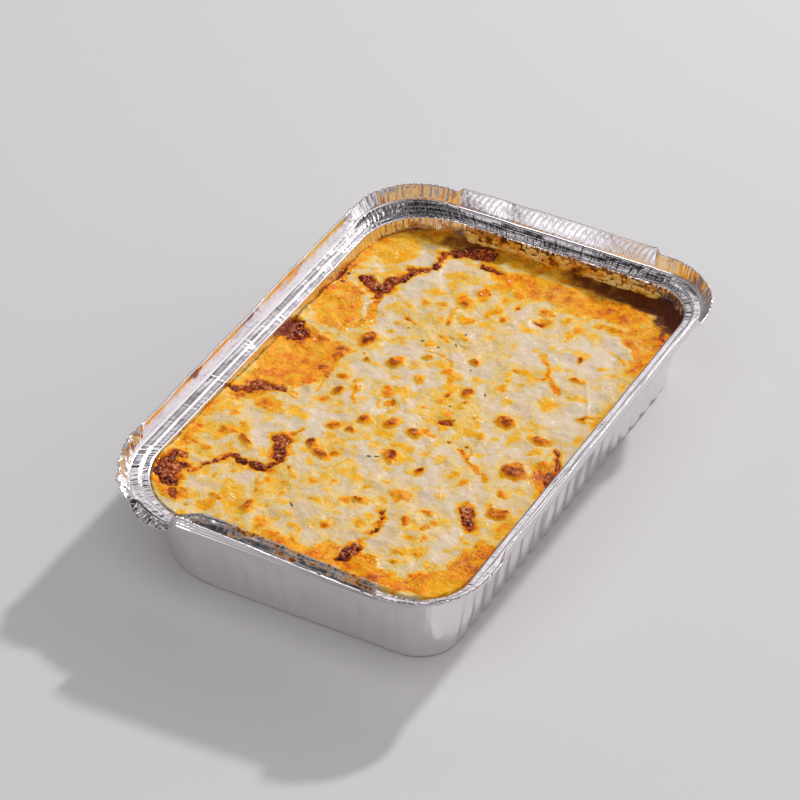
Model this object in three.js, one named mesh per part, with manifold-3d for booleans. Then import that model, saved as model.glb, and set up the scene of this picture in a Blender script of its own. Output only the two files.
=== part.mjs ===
// Baked lasagne in a pressed aluminium foil tray, lid off.
// Millimetres, +Z up, +Y along the tray's long side. The origin is the centre of the
// object's box at table height, set at the end of this file.
import * as THREE from 'three';
import { mergeVertices } from 'three/addons/utils/BufferGeometryUtils.js';
import Module from 'manifold-3d';

const wasm = await Module();
wasm.setup();

// ---- Driving dimensions -------------------------------------------------------------

const TRAY_LENGTH = 221;          // over the rim's flat ledge
const TRAY_WIDTH = 145;
const RIM_HEIGHT = 33.6;          // top of the outer ledge above the table
const FOIL = 0.45;                // modelled thickness of the foil
const LEDGE_WIDTH = 6.1;          // inner and outer ledge together
const INNER_LEDGE = 2.8;
const LEDGE_STEP = 1.2;           // rise from the inner ledge to the outer one
const STEP_RUN = 0.3;             // how far the small step leans
const WALL_TAPER = 5.3;           // each wall leans out by this from floor to ledge
const FLOOR_ROUNDING = 1.8;       // rounded edge between floor and wall
const FLAP_HEIGHT = 8.7;          // the upright flange that held the lid

const FLUTES_LONG = 18;           // upright flutes pressed into each wall
const FLUTES_SHORT = 10;
const FLUTE_DEPTH = 1;
const STATIONS_PER_FLUTE = 4;
const CORNER_STEPS = 14;
const CREASE_LEAN = 0.16;         // a fully crumpled flange leans in and out by this, radians
const CREASE_HEIGHT = 0.6;        // and its edge rises and falls by this

// The corners in turn, anticlockwise from the near right one. Each has its plan radius at
// the rim's outer edge, at the top of the wall and at the floor, and how the flange stands
// along its arc: share of the arc, lean outwards in degrees, height. The last corner's
// flange is crumpled, and from its middle on it is folded down over the outside.
const CORNERS = [
  { name: 'near right', x: 1, y: -1, start: -90, crumple: 0.3,
    rimRadius: 28, wallRadius: 19, floorRadius: 15,
    flange: [[0, 36, 7.4], [0.3, 42, 6.2], [0.6, 42, 5.6], [1, 24, 6.2]] },
  { name: 'far right', x: 1, y: 1, start: 0, crumple: 0.35,
    rimRadius: 25, wallRadius: 19.5, floorRadius: 17,
    flange: [[0, 36, 6.6], [0.2, 30, 7.5], [0.5, 18, 7.4], [0.75, 14, 7.0], [1, 14, 6.6]] },
  { name: 'far left', x: -1, y: 1, start: 90, crumple: 0.35,
    rimRadius: 26.5, wallRadius: 26, floorRadius: 21,
    flange: [[0, 14, 6.9], [0.5, 14, 7.2], [0.75, 20, 6.8], [1, 38, 5.4]] },
  { name: 'near left', x: -1, y: -1, start: 180, crumple: 0.9,
    rimRadius: 34, wallRadius: 31, floorRadius: 30,
    flange: [[0, 4, 8.7], [0.07, 9, 8.5], [0.14, 20, 7.2], [0.2, 25, 6.4], [0.4, 34, 7.1],
      [0.5, 64, 4.8], [0.6, 84, 2.8], [0.68, 124, 4.0], [0.82, 120, 4.4], [1, 112, 2.6]] },
];

// The straight side that follows each corner: number of flutes, the share of its length
// where the lid's flap stands, and the flap's lean in degrees and height at either end.
// The front flap is bent over towards the food, more so at its right end.
const SIDES = [
  { name: 'right', flutes: FLUTES_LONG, flap: [0.03, 0.97], lean: [15.4, 15.4],
    height: [FLAP_HEIGHT, FLAP_HEIGHT] },
  { name: 'back', flutes: FLUTES_SHORT, flap: [0.04, 0.96], lean: [22, 22],
    height: [FLAP_HEIGHT, FLAP_HEIGHT] },
  { name: 'left', flutes: FLUTES_LONG, flap: [0.02, 1], lean: [2.8, 2.8],
    height: [FLAP_HEIGHT, FLAP_HEIGHT] },
  { name: 'front', flutes: FLUTES_SHORT, flap: [0, 1], lean: [-14, -8], height: [8.9, 6.2] },
];

const CLEARANCE = 0.35;           // gap between the foil and the food, and between foods
const CHEESE_DEPTH = 5;
const FOOD_LEVEL = 29.4;          // mean height of the baked surface at the centre
const LEVEL_RISE_X = 0.006;       // the surface dips towards the far side
const LEVEL_RISE_Y = -0.027;
const UNEVEN = 0.25;              // small roughness of the baked surface, up or down
const LIP_HEIGHT = 0.8;           // the cheese climbs by this where it meets the foil,
const LIP_SHARPNESS = 12;         // in a lip that is narrower the higher this is
const CHEESE_CELLS = [28, 44];    // mesh cells across and along the cheese
const BLOCK_CORNER_STEPS = 8;     // mesh steps round one corner of the lasagne
const BLOCK_SIDE_STEPS = [8, 12];  // and along its short and long sides

// Where the sauce breaks through the cheese: centre, half length, half width, turn in
// degrees of the long axis from +X.
const SAUCE_GAPS = [
  { x: -54.5, y: -81, length: 12, width: 6, turn: 112 },
  { x: -58, y: 15.5, length: 5, width: 5, turn: 0 },
  { x: -56, y: -24, length: 6.5, width: 4.5, turn: 60 },
  { x: -48, y: 58, length: 8, width: 4.5, turn: 15 },
  { x: -40, y: 71.5, length: 8, width: 2.6, turn: 55 },
  { x: -29, y: -52.5, length: 8, width: 2.6, turn: 105 },
  { x: 48, y: -52, length: 5.5, width: 2.8, turn: 130 },
];
const SAUCE_SINK = 0.9;           // the sauce lies this far below the cheese round it
const GAP_POINTS = 16;            // points round one gap's outline
const GAP_RAGGED = 0.13;          // share by which that outline wanders in and out
const GAP_CLEARANCE = 0.5;        // gap between the sauce and the cheese round it
const BELOW_CHEESE = 3;           // the cut for a gap starts and ends this far past
const ABOVE_CHEESE = 6;           // the cheese's underside and top
const MINCE_PER_GAP = 4;
const MINCE_RADIUS = [1.3, 2.1];
const MINCE_MARGIN = 1.2;         // the crumbs stay this far inside the gap's outline
const MINCE_STRAY = 0.4;          // share of the gap's half width by which they wander
const MINCE_SUNK = 0.35;          // share of a crumb's radius that its centre lies below

// Blisters that stand up from the cheese: centre, radius, height.
const BLISTERS = [
  [35, 2.5, 6, 1.5], [51, -22, 7, 1.7], [43, 20.5, 5, 1.3], [-16, -46, 7, 1.6], [8, -35.5, 5, 1.2],
  [14, 12, 4.5, 1.2], [51, 0, 5, 1.2], [57.5, -47.5, 5, 1.2], [-18.5, 17, 5, 1.1],
  [-35.5, 24.5, 5, 1.1], [-22.5, -86.5, 5, 1.2], [-43.5, -53, 5, 1.1], [23.5, 21.5, 4, 1.1],
  [-10, -7, 7, 1.3], [-1, -18.5, 4, 1], [10, -20, 4, 1], [6.5, -82, 4, 1], [15, -9, 7, 1.4],
  [60, 60, 7, 1.3], [22.5, -54, 5, 1],
];
// Broad swells and dips of the pasta sheets underneath: centre, radius, height.
const SWELLS = [
  [-20, 62, 26, 1.1], [-52, 82, 18, -0.9], [-56, 4, 20, -1.2], [30, 40, 26, 0.9],
  [28, 84, 26, -0.8], [-6, -22, 24, 0.7], [-8, -66, 22, 0.9], [40, -74, 20, 0.8],
  [-40, 34, 12, -0.9], [62, -24, 10, -0.8],
];

// ---- Small helpers ------------------------------------------------------------------

const radians = THREE.MathUtils.degToRad;
const lerp = THREE.MathUtils.lerp;

// A repeatable number from -1 to 1 for each pair of whole numbers.
function scatter(i, j) {
  const s = Math.sin(i * 127.1 + j * 311.7) * 43758.5453;
  return 2 * (s - Math.floor(s)) - 1;
}

// A value along a list of [position, value, value...] entries, read off by position.
function alongKeys(keys, t, column) {
  for (let k = 1; k < keys.length; k += 1) {
    if (t <= keys[k][0]) {
      const share = (t - keys[k - 1][0]) / (keys[k][0] - keys[k - 1][0]);
      return lerp(keys[k - 1][column], keys[k][column], share);
    }
  }
  return keys[keys.length - 1][column];
}

// Joins rings of points, each listed anticlockwise from above, into one closed surface
// with a point at either end. The rings run so that the surface faces outwards.
function closedLoft(firstPoint, rings, lastPoint) {
  const positions = [...firstPoint];
  rings.forEach((ring) => ring.forEach((p) => positions.push(...p)));
  positions.push(...lastPoint);
  const count = rings[0].length;
  const last = positions.length / 3 - 1;
  const at = (ring, station) => 1 + ring * count + (station % count);
  const index = [];
  for (let s = 0; s < count; s += 1) {
    index.push(0, at(0, s + 1), at(0, s));
    for (let r = 0; r + 1 < rings.length; r += 1) {
      index.push(at(r, s), at(r, s + 1), at(r + 1, s + 1));
      index.push(at(r, s), at(r + 1, s + 1), at(r + 1, s));
    }
    index.push(last, at(rings.length - 1, s), at(rings.length - 1, s + 1));
  }
  const geometry = new THREE.BufferGeometry();
  geometry.setAttribute('position', new THREE.Float32BufferAttribute(positions, 3));
  geometry.setIndex(index);
  return geometry;
}

function toSolid(geometry) {
  const bare = geometry.clone();
  bare.deleteAttribute('normal');
  bare.deleteAttribute('uv');
  const merged = mergeVertices(bare, 1e-4);
  return new wasm.Manifold(new wasm.Mesh({
    numProp: 3,
    vertProperties: Float32Array.from(merged.attributes.position.array),
    triVerts: Uint32Array.from(merged.index.array),
  }));
}

function toGeometry(solid) {
  const mesh = solid.getMesh();
  const geometry = new THREE.BufferGeometry();
  geometry.setAttribute('position', new THREE.BufferAttribute(mesh.vertProperties, 3));
  geometry.setIndex(new THREE.BufferAttribute(mesh.triVerts, 1));
  return geometry;
}

// ---- The tray's outline in plan -----------------------------------------------------

// Stations round the outline. Each knows its corner or side and how far along it lies.
function outlineStations(cornerSteps, sideSteps) {
  const stations = [];
  CORNERS.forEach((corner, k) => {
    for (let i = 0; i <= cornerSteps; i += 1) {
      stations.push({ k, onCorner: true, t: i / cornerSteps });
    }
    const steps = sideSteps(SIDES[k]);
    for (let i = 1; i < steps; i += 1) {
      stations.push({ k, onCorner: false, t: i / steps });
    }
  });
  return stations;
}

// A point on a corner's arc, set in by inset from the rim's outer edge, with its normal.
function arcPoint(corner, t, inset, radius) {
  const angle = radians(corner.start + 90 * t);
  const normal = [Math.cos(angle), Math.sin(angle)];
  const x = corner.x * (TRAY_WIDTH / 2 - inset - radius) + radius * normal[0];
  const y = corner.y * (TRAY_LENGTH / 2 - inset - radius) + radius * normal[1];
  return { x, y, normal };
}

// A corner's plan radius. climb runs from 0 at the floor to 1 at the top of the wall, and
// from there on the inset tells how far out over the ledges the outline lies.
function cornerRadius(corner, inset, climb) {
  if (climb < 1) {
    return lerp(corner.floorRadius, corner.wallRadius, climb);
  }
  return lerp(corner.rimRadius, corner.wallRadius, inset / LEDGE_WIDTH);
}

// The outline at one inset and climb.
function outlinePoint(station, inset, climb) {
  const corner = CORNERS[station.k];
  if (station.onCorner) {
    return arcPoint(corner, station.t, inset, cornerRadius(corner, inset, climb));
  }
  const next = CORNERS[(station.k + 1) % CORNERS.length];
  const from = arcPoint(corner, 1, inset, cornerRadius(corner, inset, climb));
  const to = arcPoint(next, 0, inset, cornerRadius(next, inset, climb));
  return { x: lerp(from.x, to.x, station.t), y: lerp(from.y, to.y, station.t), normal: from.normal };
}

// The wall's inset and climb at a height: it leans out steadily from floor to inner ledge.
const INNER_LEDGE_HEIGHT = RIM_HEIGHT - LEDGE_STEP;
const climbAt = (z) => THREE.MathUtils.clamp(z / INNER_LEDGE_HEIGHT, 0, 1);
const wallInset = (z) => LEDGE_WIDTH + WALL_TAPER * (1 - climbAt(z));

// ---- Foil tray ----------------------------------------------------------------------

// The flutes' outline: 1 on a flute's crown, 0 in the valley between two.
function fluteWave(station) {
  if (station.onCorner) {
    return 0;
  }
  return Math.abs(Math.sin(Math.PI * station.t * SIDES[station.k].flutes));
}

// How the flange stands at a station. Past the ends of a side's flap it stands as it does
// in the corner there.
function flangeStand(station) {
  let corner = CORNERS[station.k];
  let share = station.t;
  if (!station.onCorner) {
    const side = SIDES[station.k];
    const [first, last] = side.flap;
    if (station.t >= first && station.t <= last) {
      return { lean: lerp(...side.lean, station.t), height: lerp(...side.height, station.t) };
    }
    corner = station.t < first ? corner : CORNERS[(station.k + 1) % CORNERS.length];
    share = station.t < first ? 1 : 0;
  }
  return { lean: alongKeys(corner.flange, share, 1), height: alongKeys(corner.flange, share, 2) };
}

function foilTray() {
  const stations = outlineStations(CORNER_STEPS, (side) => side.flutes * STATIONS_PER_FLUTE);

  // One ring of the foil. thick is 0 on the food's side and 1 on the outside.
  const ring = (inset, z, thick, climb) => stations.map((station) => {
    const point = outlinePoint(station, inset, climb);
    const flute = FLUTE_DEPTH * (1 - climb) * (fluteWave(station) - 0.5);
    const shift = thick * FOIL + flute;
    return [point.x + shift * point.normal[0], point.y + shift * point.normal[1], z];
  });

  // The flange's free edge: out from the ledge at its own lean, creased at the corners.
  const flangeEdge = (thick) => stations.map((station, s) => {
    const point = outlinePoint(station, 0, 1);
    const stand = flangeStand(station);
    const inCorner = station.onCorner && station.t > 0 && station.t < 1;
    const crease = inCorner ? CORNERS[station.k].crumple : 0;
    const lean = radians(stand.lean) + crease * CREASE_LEAN * scatter(s, 1);
    const height = stand.height + crease * CREASE_HEIGHT * scatter(s, 2);
    const out = height * Math.sin(lean) + thick * FOIL * Math.cos(lean);
    const up = height * Math.cos(lean) - thick * FOIL * Math.sin(lean);
    return [point.x + out * point.normal[0], point.y + out * point.normal[1], RIM_HEIGHT + up];
  });

  const wallFoot = wallInset(FLOOR_ROUNDING);
  const floorEdge = wallFoot + FLOOR_ROUNDING;
  const ledgeCorner = LEDGE_WIDTH - INNER_LEDGE;
  return closedLoft(
    [0, 0, 0],
    [
      ring(floorEdge, 0, 0, 0),
      ring(wallFoot, FLOOR_ROUNDING, 1, climbAt(FLOOR_ROUNDING)),
      ring(LEDGE_WIDTH, INNER_LEDGE_HEIGHT - FOIL, 1, 1),
      ring(ledgeCorner, INNER_LEDGE_HEIGHT - FOIL, 1, 1),
      ring(0, RIM_HEIGHT - FOIL, 1, 1),
      flangeEdge(1),
      flangeEdge(0),
      ring(0, RIM_HEIGHT, 0, 1),
      ring(ledgeCorner - STEP_RUN, RIM_HEIGHT, 0, 1),
      ring(ledgeCorner, INNER_LEDGE_HEIGHT, 0, 1),
      ring(LEDGE_WIDTH, INNER_LEDGE_HEIGHT, 0, 1),
      ring(wallFoot, FLOOR_ROUNDING, 0, climbAt(FLOOR_ROUNDING)),
      ring(floorEdge, FOIL, 0, 0),
    ],
    [0, 0, FOIL],
  );
}

// ---- Food ---------------------------------------------------------------------------

const foodLevel = (x, y) => FOOD_LEVEL + LEVEL_RISE_X * x + LEVEL_RISE_Y * y;

const bell = (distance, radius) => Math.exp(-2 * (distance / radius) ** 2);

// Height of the baked surface: the level, the sheets' swells, the blisters on them, a
// little unevenness, and a lip that climbs where the food meets the foil.
function surfaceHeight(x, y, edge) {
  const add = (list) => list.reduce(
    (sum, [cx, cy, radius, height]) => sum + height * bell(Math.hypot(x - cx, y - cy), radius), 0);
  const uneven = UNEVEN * scatter(Math.round(x), Math.round(y));
  const lip = LIP_HEIGHT * edge ** LIP_SHARPNESS;
  return foodLevel(x, y) + add(SWELLS) + add(BLISTERS) + uneven + lip;
}

// Maps a point of the square -1..1 onto the food's outline at height z.
function spreadOnOutline(u, v, z) {
  const reach = Math.max(Math.abs(u), Math.abs(v));
  if (reach === 0) {
    return [0, 0];
  }
  const corner = CORNERS.find((c) => c.x === Math.sign(u || 1) && c.y === Math.sign(v || 1));
  const inset = wallInset(z) + CLEARANCE;
  const radius = lerp(corner.floorRadius, corner.wallRadius, climbAt(z)) - CLEARANCE;
  const centreX = TRAY_WIDTH / 2 - inset - radius;
  const centreY = TRAY_LENGTH / 2 - inset - radius;
  let x = Math.abs(u / reach) * (centreX + radius);
  let y = Math.abs(v / reach) * (centreY + radius);
  if (x > centreX && y > centreY) {
    const away = radius / Math.hypot(x - centreX, y - centreY);
    x = centreX + (x - centreX) * away;
    y = centreY + (y - centreY) * away;
  }
  return [Math.sign(u) * x * reach, Math.sign(v) * y * reach];
}

// A sheet of cheese with its relief on top and a flat underside parallel to the level.
function cheeseSheet() {
  const [across, along] = CHEESE_CELLS;
  const positions = [];
  const index = [];
  const at = (i, j) => j * (across + 1) + i;
  for (let j = 0; j <= along; j += 1) {
    for (let i = 0; i <= across; i += 1) {
      const u = 2 * i / across - 1;
      const v = 2 * j / along - 1;
      const level = foodLevel(u * TRAY_WIDTH / 2, v * TRAY_LENGTH / 2);
      const [x, y] = spreadOnOutline(u, v, level);
      positions.push(x, y, surfaceHeight(x, y, Math.max(Math.abs(u), Math.abs(v))));
    }
  }
  for (let j = 0; j < along; j += 1) {
    for (let i = 0; i < across; i += 1) {
      const [a, b, c, d] = [at(i, j), at(i + 1, j), at(i + 1, j + 1), at(i, j + 1)];
      // The diagonal turns with the quarter, so that it follows the rounded corners.
      if ((i < across / 2) === (j < along / 2)) {
        index.push(a, b, c, a, c, d);
      } else {
        index.push(a, b, d, b, c, d);
      }
    }
  }

  // The edge of the sheet, anticlockwise from above, and the same edge at the underside.
  const edge = [];
  for (let i = 0; i < across; i += 1) edge.push([i, 0]);
  for (let j = 0; j < along; j += 1) edge.push([across, j]);
  for (let i = across; i > 0; i -= 1) edge.push([i, along]);
  for (let j = along; j > 0; j -= 1) edge.push([0, j]);
  const firstUnder = positions.length / 3;
  edge.forEach(([i, j]) => {
    const u = 2 * i / across - 1;
    const v = 2 * j / along - 1;
    const z = foodLevel(u * TRAY_WIDTH / 2, v * TRAY_LENGTH / 2) - CHEESE_DEPTH;
    const [x, y] = spreadOnOutline(u, v, z);
    positions.push(x, y, foodLevel(x, y) - CHEESE_DEPTH);
  });
  const centre = positions.length / 3;
  positions.push(0, 0, foodLevel(0, 0) - CHEESE_DEPTH);
  edge.forEach(([i, j], e) => {
    const next = (e + 1) % edge.length;
    const top = at(i, j);
    const topNext = at(...edge[next]);
    index.push(firstUnder + e, firstUnder + next, topNext);
    index.push(firstUnder + e, topNext, top);
    index.push(centre, firstUnder + next, firstUnder + e);
  });
  const geometry = new THREE.BufferGeometry();
  geometry.setAttribute('position', new THREE.Float32BufferAttribute(positions, 3));
  geometry.setIndex(index);
  return geometry;
}

// The block of pasta, sauce and white sauce under the cheese, clear of the foil and of it.
function lasagneBlock() {
  const stations = outlineStations(BLOCK_CORNER_STEPS,
    (side) => BLOCK_SIDE_STEPS[side.flutes === FLUTES_LONG ? 1 : 0]);
  const ring = (inset, heightAt, climb) => stations.map((station) => {
    const point = outlinePoint(station, inset, climb);
    return [point.x, point.y, heightAt(point.x, point.y)];
  });
  const footHeight = FLOOR_ROUNDING + FOIL;
  const topHeight = (x, y) => foodLevel(x, y) - CHEESE_DEPTH - CLEARANCE;
  const middle = topHeight(0, 0);
  const fluteRoom = CLEARANCE + FLUTE_DEPTH / 2;
  return closedLoft(
    [0, 0, FOIL + CLEARANCE],
    [
      ring(wallInset(0) + FLOOR_ROUNDING + fluteRoom, () => FOIL + CLEARANCE, 0),
      ring(wallInset(footHeight) + fluteRoom, () => footHeight, climbAt(footHeight)),
      ring(wallInset(middle) + fluteRoom, topHeight, climbAt(middle)),
    ],
    [0, 0, middle],
  );
}

// An upright plug with a ragged oval outline, from base to top.
function gapPlug(gap, g, shrink, base, top) {
  const outline = [];
  for (let i = 0; i < GAP_POINTS; i += 1) {
    const angle = 2 * Math.PI * i / GAP_POINTS;
    const ragged = 1 + GAP_RAGGED * scatter(g, i);
    outline.push(new THREE.Vector2(
      (gap.length * ragged - shrink) * Math.cos(angle),
      (gap.width * ragged - shrink) * Math.sin(angle),
    ));
  }
  const geometry = new THREE.ExtrudeGeometry(new THREE.Shape(outline), {
    depth: top - base, bevelEnabled: false,
  });
  geometry.rotateZ(radians(gap.turn));
  geometry.translate(gap.x, gap.y, base);
  return toSolid(geometry);
}

// Crumbs of mince that stand out of the sauce in one gap, as one list of solids.
function minceIn(gap, g, top) {
  const crumbs = [];
  for (let m = 0; m < MINCE_PER_GAP; m += 1) {
    const along = (m + 0.5) / MINCE_PER_GAP * 2 - 1;
    const radius = lerp(...MINCE_RADIUS, 0.5 + 0.5 * scatter(g, m));
    const turn = radians(gap.turn);
    const run = along * (gap.length - radius - MINCE_MARGIN);
    const room = Math.max(0, gap.width - radius - MINCE_MARGIN);
    const side = MINCE_STRAY * room * scatter(g, m + MINCE_PER_GAP);
    const crumb = new THREE.IcosahedronGeometry(radius, 0);
    crumb.rotateX(Math.PI * scatter(g, m + 2 * MINCE_PER_GAP));
    crumb.translate(
      gap.x + run * Math.cos(turn) - side * Math.sin(turn),
      gap.y + run * Math.sin(turn) + side * Math.cos(turn),
      top - MINCE_SUNK * radius,
    );
    crumbs.push(toSolid(crumb));
  }
  return crumbs;
}

function food() {
  let cheese = toSolid(cheeseSheet());
  let lasagne = toSolid(lasagneBlock());
  SAUCE_GAPS.forEach((gap, g) => {
    const surface = surfaceHeight(gap.x, gap.y, 0);
    const base = foodLevel(gap.x, gap.y) - CHEESE_DEPTH - BELOW_CHEESE;
    cheese = cheese.subtract(gapPlug(gap, g, 0, base, surface + ABOVE_CHEESE));
    lasagne = lasagne.add(gapPlug(gap, g, GAP_CLEARANCE, base, surface - SAUCE_SINK));
    minceIn(gap, g, surface - SAUCE_SINK).forEach((crumb) => {
      lasagne = lasagne.add(crumb);
    });
  });
  return { cheese: toGeometry(cheese), lasagne: toGeometry(lasagne) };
}

// ---- The model ----------------------------------------------------------------------

function piece(name, geometry, color, roughness, metalness) {
  const material = new THREE.MeshStandardMaterial({ color, roughness, metalness });
  const mesh = new THREE.Mesh(geometry, material);
  mesh.name = name;
  return mesh;
}

const { cheese, lasagne } = food();
const meal = new THREE.Group();
meal.add(piece('tray', foilTray(), 0xc8c8ca, 0.28, 1));
meal.add(piece('lasagne', lasagne, 0x8c2f14, 0.5, 0));
meal.add(piece('cheese_topping', cheese, 0xe6cd9c, 0.35, 0));

// Centre the box over the origin.
const box = new THREE.Box3().setFromObject(meal);
meal.position.set(-(box.min.x + box.max.x) / 2, -(box.min.y + box.max.y) / 2, -box.min.z);

export default meal;
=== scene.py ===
"""Baked lasagne in a pressed foil tray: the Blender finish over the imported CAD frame."""
import math
from functools import partial
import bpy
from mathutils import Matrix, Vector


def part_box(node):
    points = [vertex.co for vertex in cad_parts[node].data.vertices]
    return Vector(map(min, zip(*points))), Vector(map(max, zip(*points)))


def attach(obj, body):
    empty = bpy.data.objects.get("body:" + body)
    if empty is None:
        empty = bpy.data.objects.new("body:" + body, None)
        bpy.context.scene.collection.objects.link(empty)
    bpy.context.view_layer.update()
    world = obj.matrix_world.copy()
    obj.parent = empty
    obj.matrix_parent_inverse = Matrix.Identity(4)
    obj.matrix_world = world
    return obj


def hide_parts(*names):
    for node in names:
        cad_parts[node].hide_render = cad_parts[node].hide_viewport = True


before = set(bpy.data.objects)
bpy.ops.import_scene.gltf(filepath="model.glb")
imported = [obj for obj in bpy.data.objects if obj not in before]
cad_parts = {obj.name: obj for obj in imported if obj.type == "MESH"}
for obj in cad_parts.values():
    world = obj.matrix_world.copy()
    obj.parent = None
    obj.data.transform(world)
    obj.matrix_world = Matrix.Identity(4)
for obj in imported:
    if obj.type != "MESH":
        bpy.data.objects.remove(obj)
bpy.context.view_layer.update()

from types import SimpleNamespace

import bpy
import numpy as np
from mathutils import Matrix, Vector

# ---- Sizes in millimetres, in the tray's own frame ------------------------------------
# Its origin is the tray's centre on the table, +Y along the long side, +Z up.

TRAY_LENGTH = 221.0               # over the rim's flat ledge
TRAY_WIDTH = 145.0
RIM_HEIGHT = 33.6                 # top of the outer ledge
FOIL = 0.3
LEDGE_WIDTH = 6.1                 # inner and outer ledge together
INNER_LEDGE = 2.8
LEDGE_STEP = 1.2                  # rise from the inner ledge to the outer one
STEP_RUN = 0.3
WALL_TAPER = 5.3                  # each wall leans out by this from floor to ledge
FLOOR_ROUNDING = 1.8
FLUTE_DEPTH = 1.0

# The corners anticlockwise from the near right one: side of the tray, first angle of the
# arc, plan radii at rim, wall top and floor, and the flange as (share, lean, height).
CORNERS = [
    dict(x=1, y=-1, start=-90, rim=28, wall=19, floor=15,
         flange=[(0, 36, 7.4), (0.3, 42, 6.2), (0.6, 42, 5.6), (1, 24, 6.2)]),
    dict(x=1, y=1, start=0, rim=25, wall=19.5, floor=17,
         flange=[(0, 36, 6.6), (0.2, 30, 7.5), (0.5, 18, 7.4), (0.75, 14, 7.0), (1, 14, 6.6)]),
    dict(x=-1, y=1, start=90, rim=26.5, wall=26, floor=21,
         flange=[(0, 14, 6.9), (0.5, 14, 7.2), (0.75, 20, 6.8), (1, 38, 5.4)]),
    dict(x=-1, y=-1, start=180, rim=34, wall=31, floor=30,
         flange=[(0, 4, 8.7), (0.07, 9, 8.5), (0.14, 20, 7.2), (0.2, 25, 6.4), (0.4, 34, 7.1),
                 (0.5, 64, 4.8), (0.6, 84, 2.8), (0.68, 124, 4.0), (0.82, 120, 4.4),
                 (1, 112, 2.6)]),
]
# The straight side after each corner: flutes, the flap's span, its lean and height at either
# end, and how much of that height is bent over towards the food.
SIDES = [
    dict(flutes=18, flap=(0.03, 0.97), lean=(15.4, 15.4), height=(8.7, 8.7), fold=0),
    dict(flutes=10, flap=(0.04, 0.96), lean=(22, 22), height=(8.7, 8.7), fold=0),
    dict(flutes=18, flap=(0.02, 1.0), lean=(2.8, 2.8), height=(8.7, 8.7), fold=0),
    dict(flutes=10, flap=(0.0, 1.0), lean=(5, 35), height=(10.3, 7.8), fold=4.2),
]
FOLD_LEAN = -45                   # of the part bent over, in degrees

# ---- Small helpers --------------------------------------------------------------------

MM = 0.001
NOISE_CELLS = (61, 67)
food_low, food_high = (np.array(corner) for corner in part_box("lasagne"))
TRAY_CENTRE = (food_low + food_high) / 2 * [1, 1, 0]


def to_frame(points):
    """Millimetres in the tray's own frame to metres in the row frame."""
    return np.asarray(points) * MM + TRAY_CENTRE


def smoothstep(low, high, value):
    t = np.clip((value - low) / (high - low), 0, 1)
    return t * t * (3 - 2 * t)


def noise(x, y, size, seed):
    """A smooth random field from -1 to 1 whose bumps are about size apart."""
    table = np.random.default_rng(seed).uniform(-1, 1, NOISE_CELLS)
    u, v = np.asarray(x) / size, np.asarray(y) / size
    i, j = np.floor(u).astype(int), np.floor(v).astype(int)
    f, g = u - i, v - j
    f, g = f * f * (3 - 2 * f), g * g * (3 - 2 * g)

    def at(a, b):
        return table[(i + a) % NOISE_CELLS[0], (j + b) % NOISE_CELLS[1]]
    near = at(0, 0) * (1 - f) + at(1, 0) * f
    far = at(0, 1) * (1 - f) + at(1, 1) * f
    return near * (1 - g) + far * g


def layered(x, y, layers):
    """Noises on top of each other, each given as its amount, size and seed."""
    return sum(amount * noise(x, y, size, seed) for amount, size, seed in layers)


def place_object(name, data):
    thing = bpy.data.objects.new(name, data)
    bpy.context.scene.collection.objects.link(thing)
    return thing


def make_mesh(name, material, points, quads, triangles, **attributes):
    """A smooth shaded object from points in the tray's millimetres, with point attributes."""
    mesh = bpy.data.meshes.new(name)
    faces = np.asarray(quads).tolist() + np.asarray(triangles).tolist()
    mesh.from_pydata(to_frame(points).tolist(), [], faces)
    mesh.polygons.foreach_set("use_smooth", [True] * len(mesh.polygons))
    for label, values in attributes.items():
        layer = mesh.attributes.new(label, "FLOAT", "POINT")
        layer.data.foreach_set("value", np.asarray(values, dtype=np.float32))
    mesh.update()
    mesh.materials.append(material)
    return place_object(name, mesh)


def stand(thing, azimuth, elevation, distance, target=(0, 0, 0)):
    """Sets a camera or light off a target, facing it: metres, and degrees from +Y to +X."""
    a, e = math.radians(azimuth), math.radians(elevation)
    away = Vector((math.sin(a) * math.cos(e), math.cos(a) * math.cos(e), math.sin(e)))
    turn = away.to_track_quat("Z", "Y").to_matrix().to_4x4()
    thing.matrix_world = Matrix.Translation(Vector(target) + away * distance) @ turn


# Short names of the shader's sockets.
SOCKETS = dict(colour="Base Color", metallic="Metallic", roughness="Roughness",
               specular="Specular IOR Level", normal="Normal", coat="Coat Weight",
               coat_roughness="Coat Roughness", coat_normal="Coat Normal")


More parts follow.
